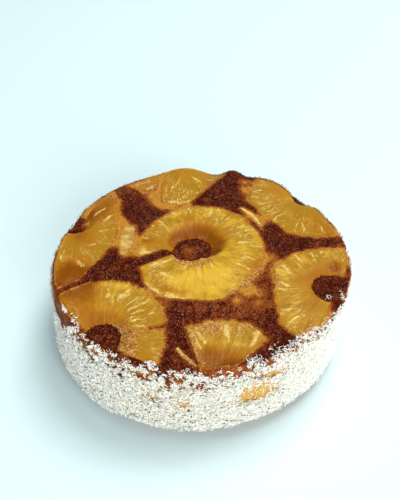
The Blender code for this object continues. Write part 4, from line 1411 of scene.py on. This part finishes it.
def floor_plane(size, material):
    """A flat square at height 0 that the cake stands on."""
    mesh = bpy.data.meshes.new("floor")
    corners = [(-size, -size, 0.0), (size, -size, 0.0), (size, size, 0.0), (-size, size, 0.0)]
    mesh.from_pydata(corners, [], [(0, 1, 2, 3)])
    mesh.materials.append(material)
    made = bpy.data.objects.new("floor", mesh)
    bpy.context.scene.collection.objects.link(made)


FLOOR_PALE = colour(227, 249, 252)
floor_plane(4.0, finish("floor_finish", {"Roughness": 0.6, "Base Color": FLOOR_PALE})[0])


def stand(name, data, side, up, back, place):
    """A light or camera at a place, looking away from its back axis."""
    made = bpy.data.objects.new(name, data)
    made.matrix_world = [(*side, 0.0), (*up, 0.0), (*back, 0.0), (*place, 1.0)]
    bpy.context.scene.collection.objects.link(made)
    return made


def light_panel(name, place, aim, size, power, tint):
    """A square area light at a place, turned to face a point."""
    data = bpy.data.lights.new(name, "AREA")
    data.size = size
    data.energy = power
    data.color = tint
    back = np.array(place) - np.array(aim)
    back = back / np.linalg.norm(back)
    side = np.cross((0.0, 0.0, 1.0), back)
    side = side / np.linalg.norm(side)
    stand(name, data, side, np.cross(back, side), back, place)


light_panel("key", (1.1, 1.1, 3.0), (0.0, 0.0, 0.04), 1.6, 76.0, (1.0, 0.99, 0.97))
light_panel("fill", (1.3, -2.9, 1.2), (0.0, 0.0, 0.03), 2.4, 112.0, (1.0, 1.0, 0.98))
world = bpy.data.worlds.new("pale_room")
world.use_nodes = True
sky = world.node_tree.nodes["Background"].inputs
sky["Color"].default_value = (0.86, 0.97, 1.0, 1.0)
sky["Strength"].default_value = 0.32
bpy.context.scene.world = world
bpy.context.scene.view_settings.view_transform = "Standard"

# %% The camera
VIEW_DISTANCE = 0.48206
VIEW_DOWN = math.radians(41.39)
VIEW_ROLL = math.radians(-1.13)
VIEW_AIM = (0.0014, 0.0722, 0.0)
LENS = 41.4


def stand_camera():
    """Camera axes: back is away from the aim, side is level, and both are then rolled."""
    back = np.array([0.0, -math.cos(VIEW_DOWN), math.sin(VIEW_DOWN)])
    side = np.array([1.0, 0.0, 0.0])
    up = np.cross(back, side)
    turned = math.cos(VIEW_ROLL) * side + math.sin(VIEW_ROLL) * up
    up = -math.sin(VIEW_ROLL) * side + math.cos(VIEW_ROLL) * up
    place = np.array(VIEW_AIM) + VIEW_DISTANCE * back
    data = bpy.data.cameras.new("photo_camera")
    data.lens = LENS
    data.clip_start = 0.01
    bpy.context.scene.camera = stand("photo_camera", data, turned, up, back, place)
    print("camera at", [round(1000.0 * value) for value in place], "mm")


stand_camera()
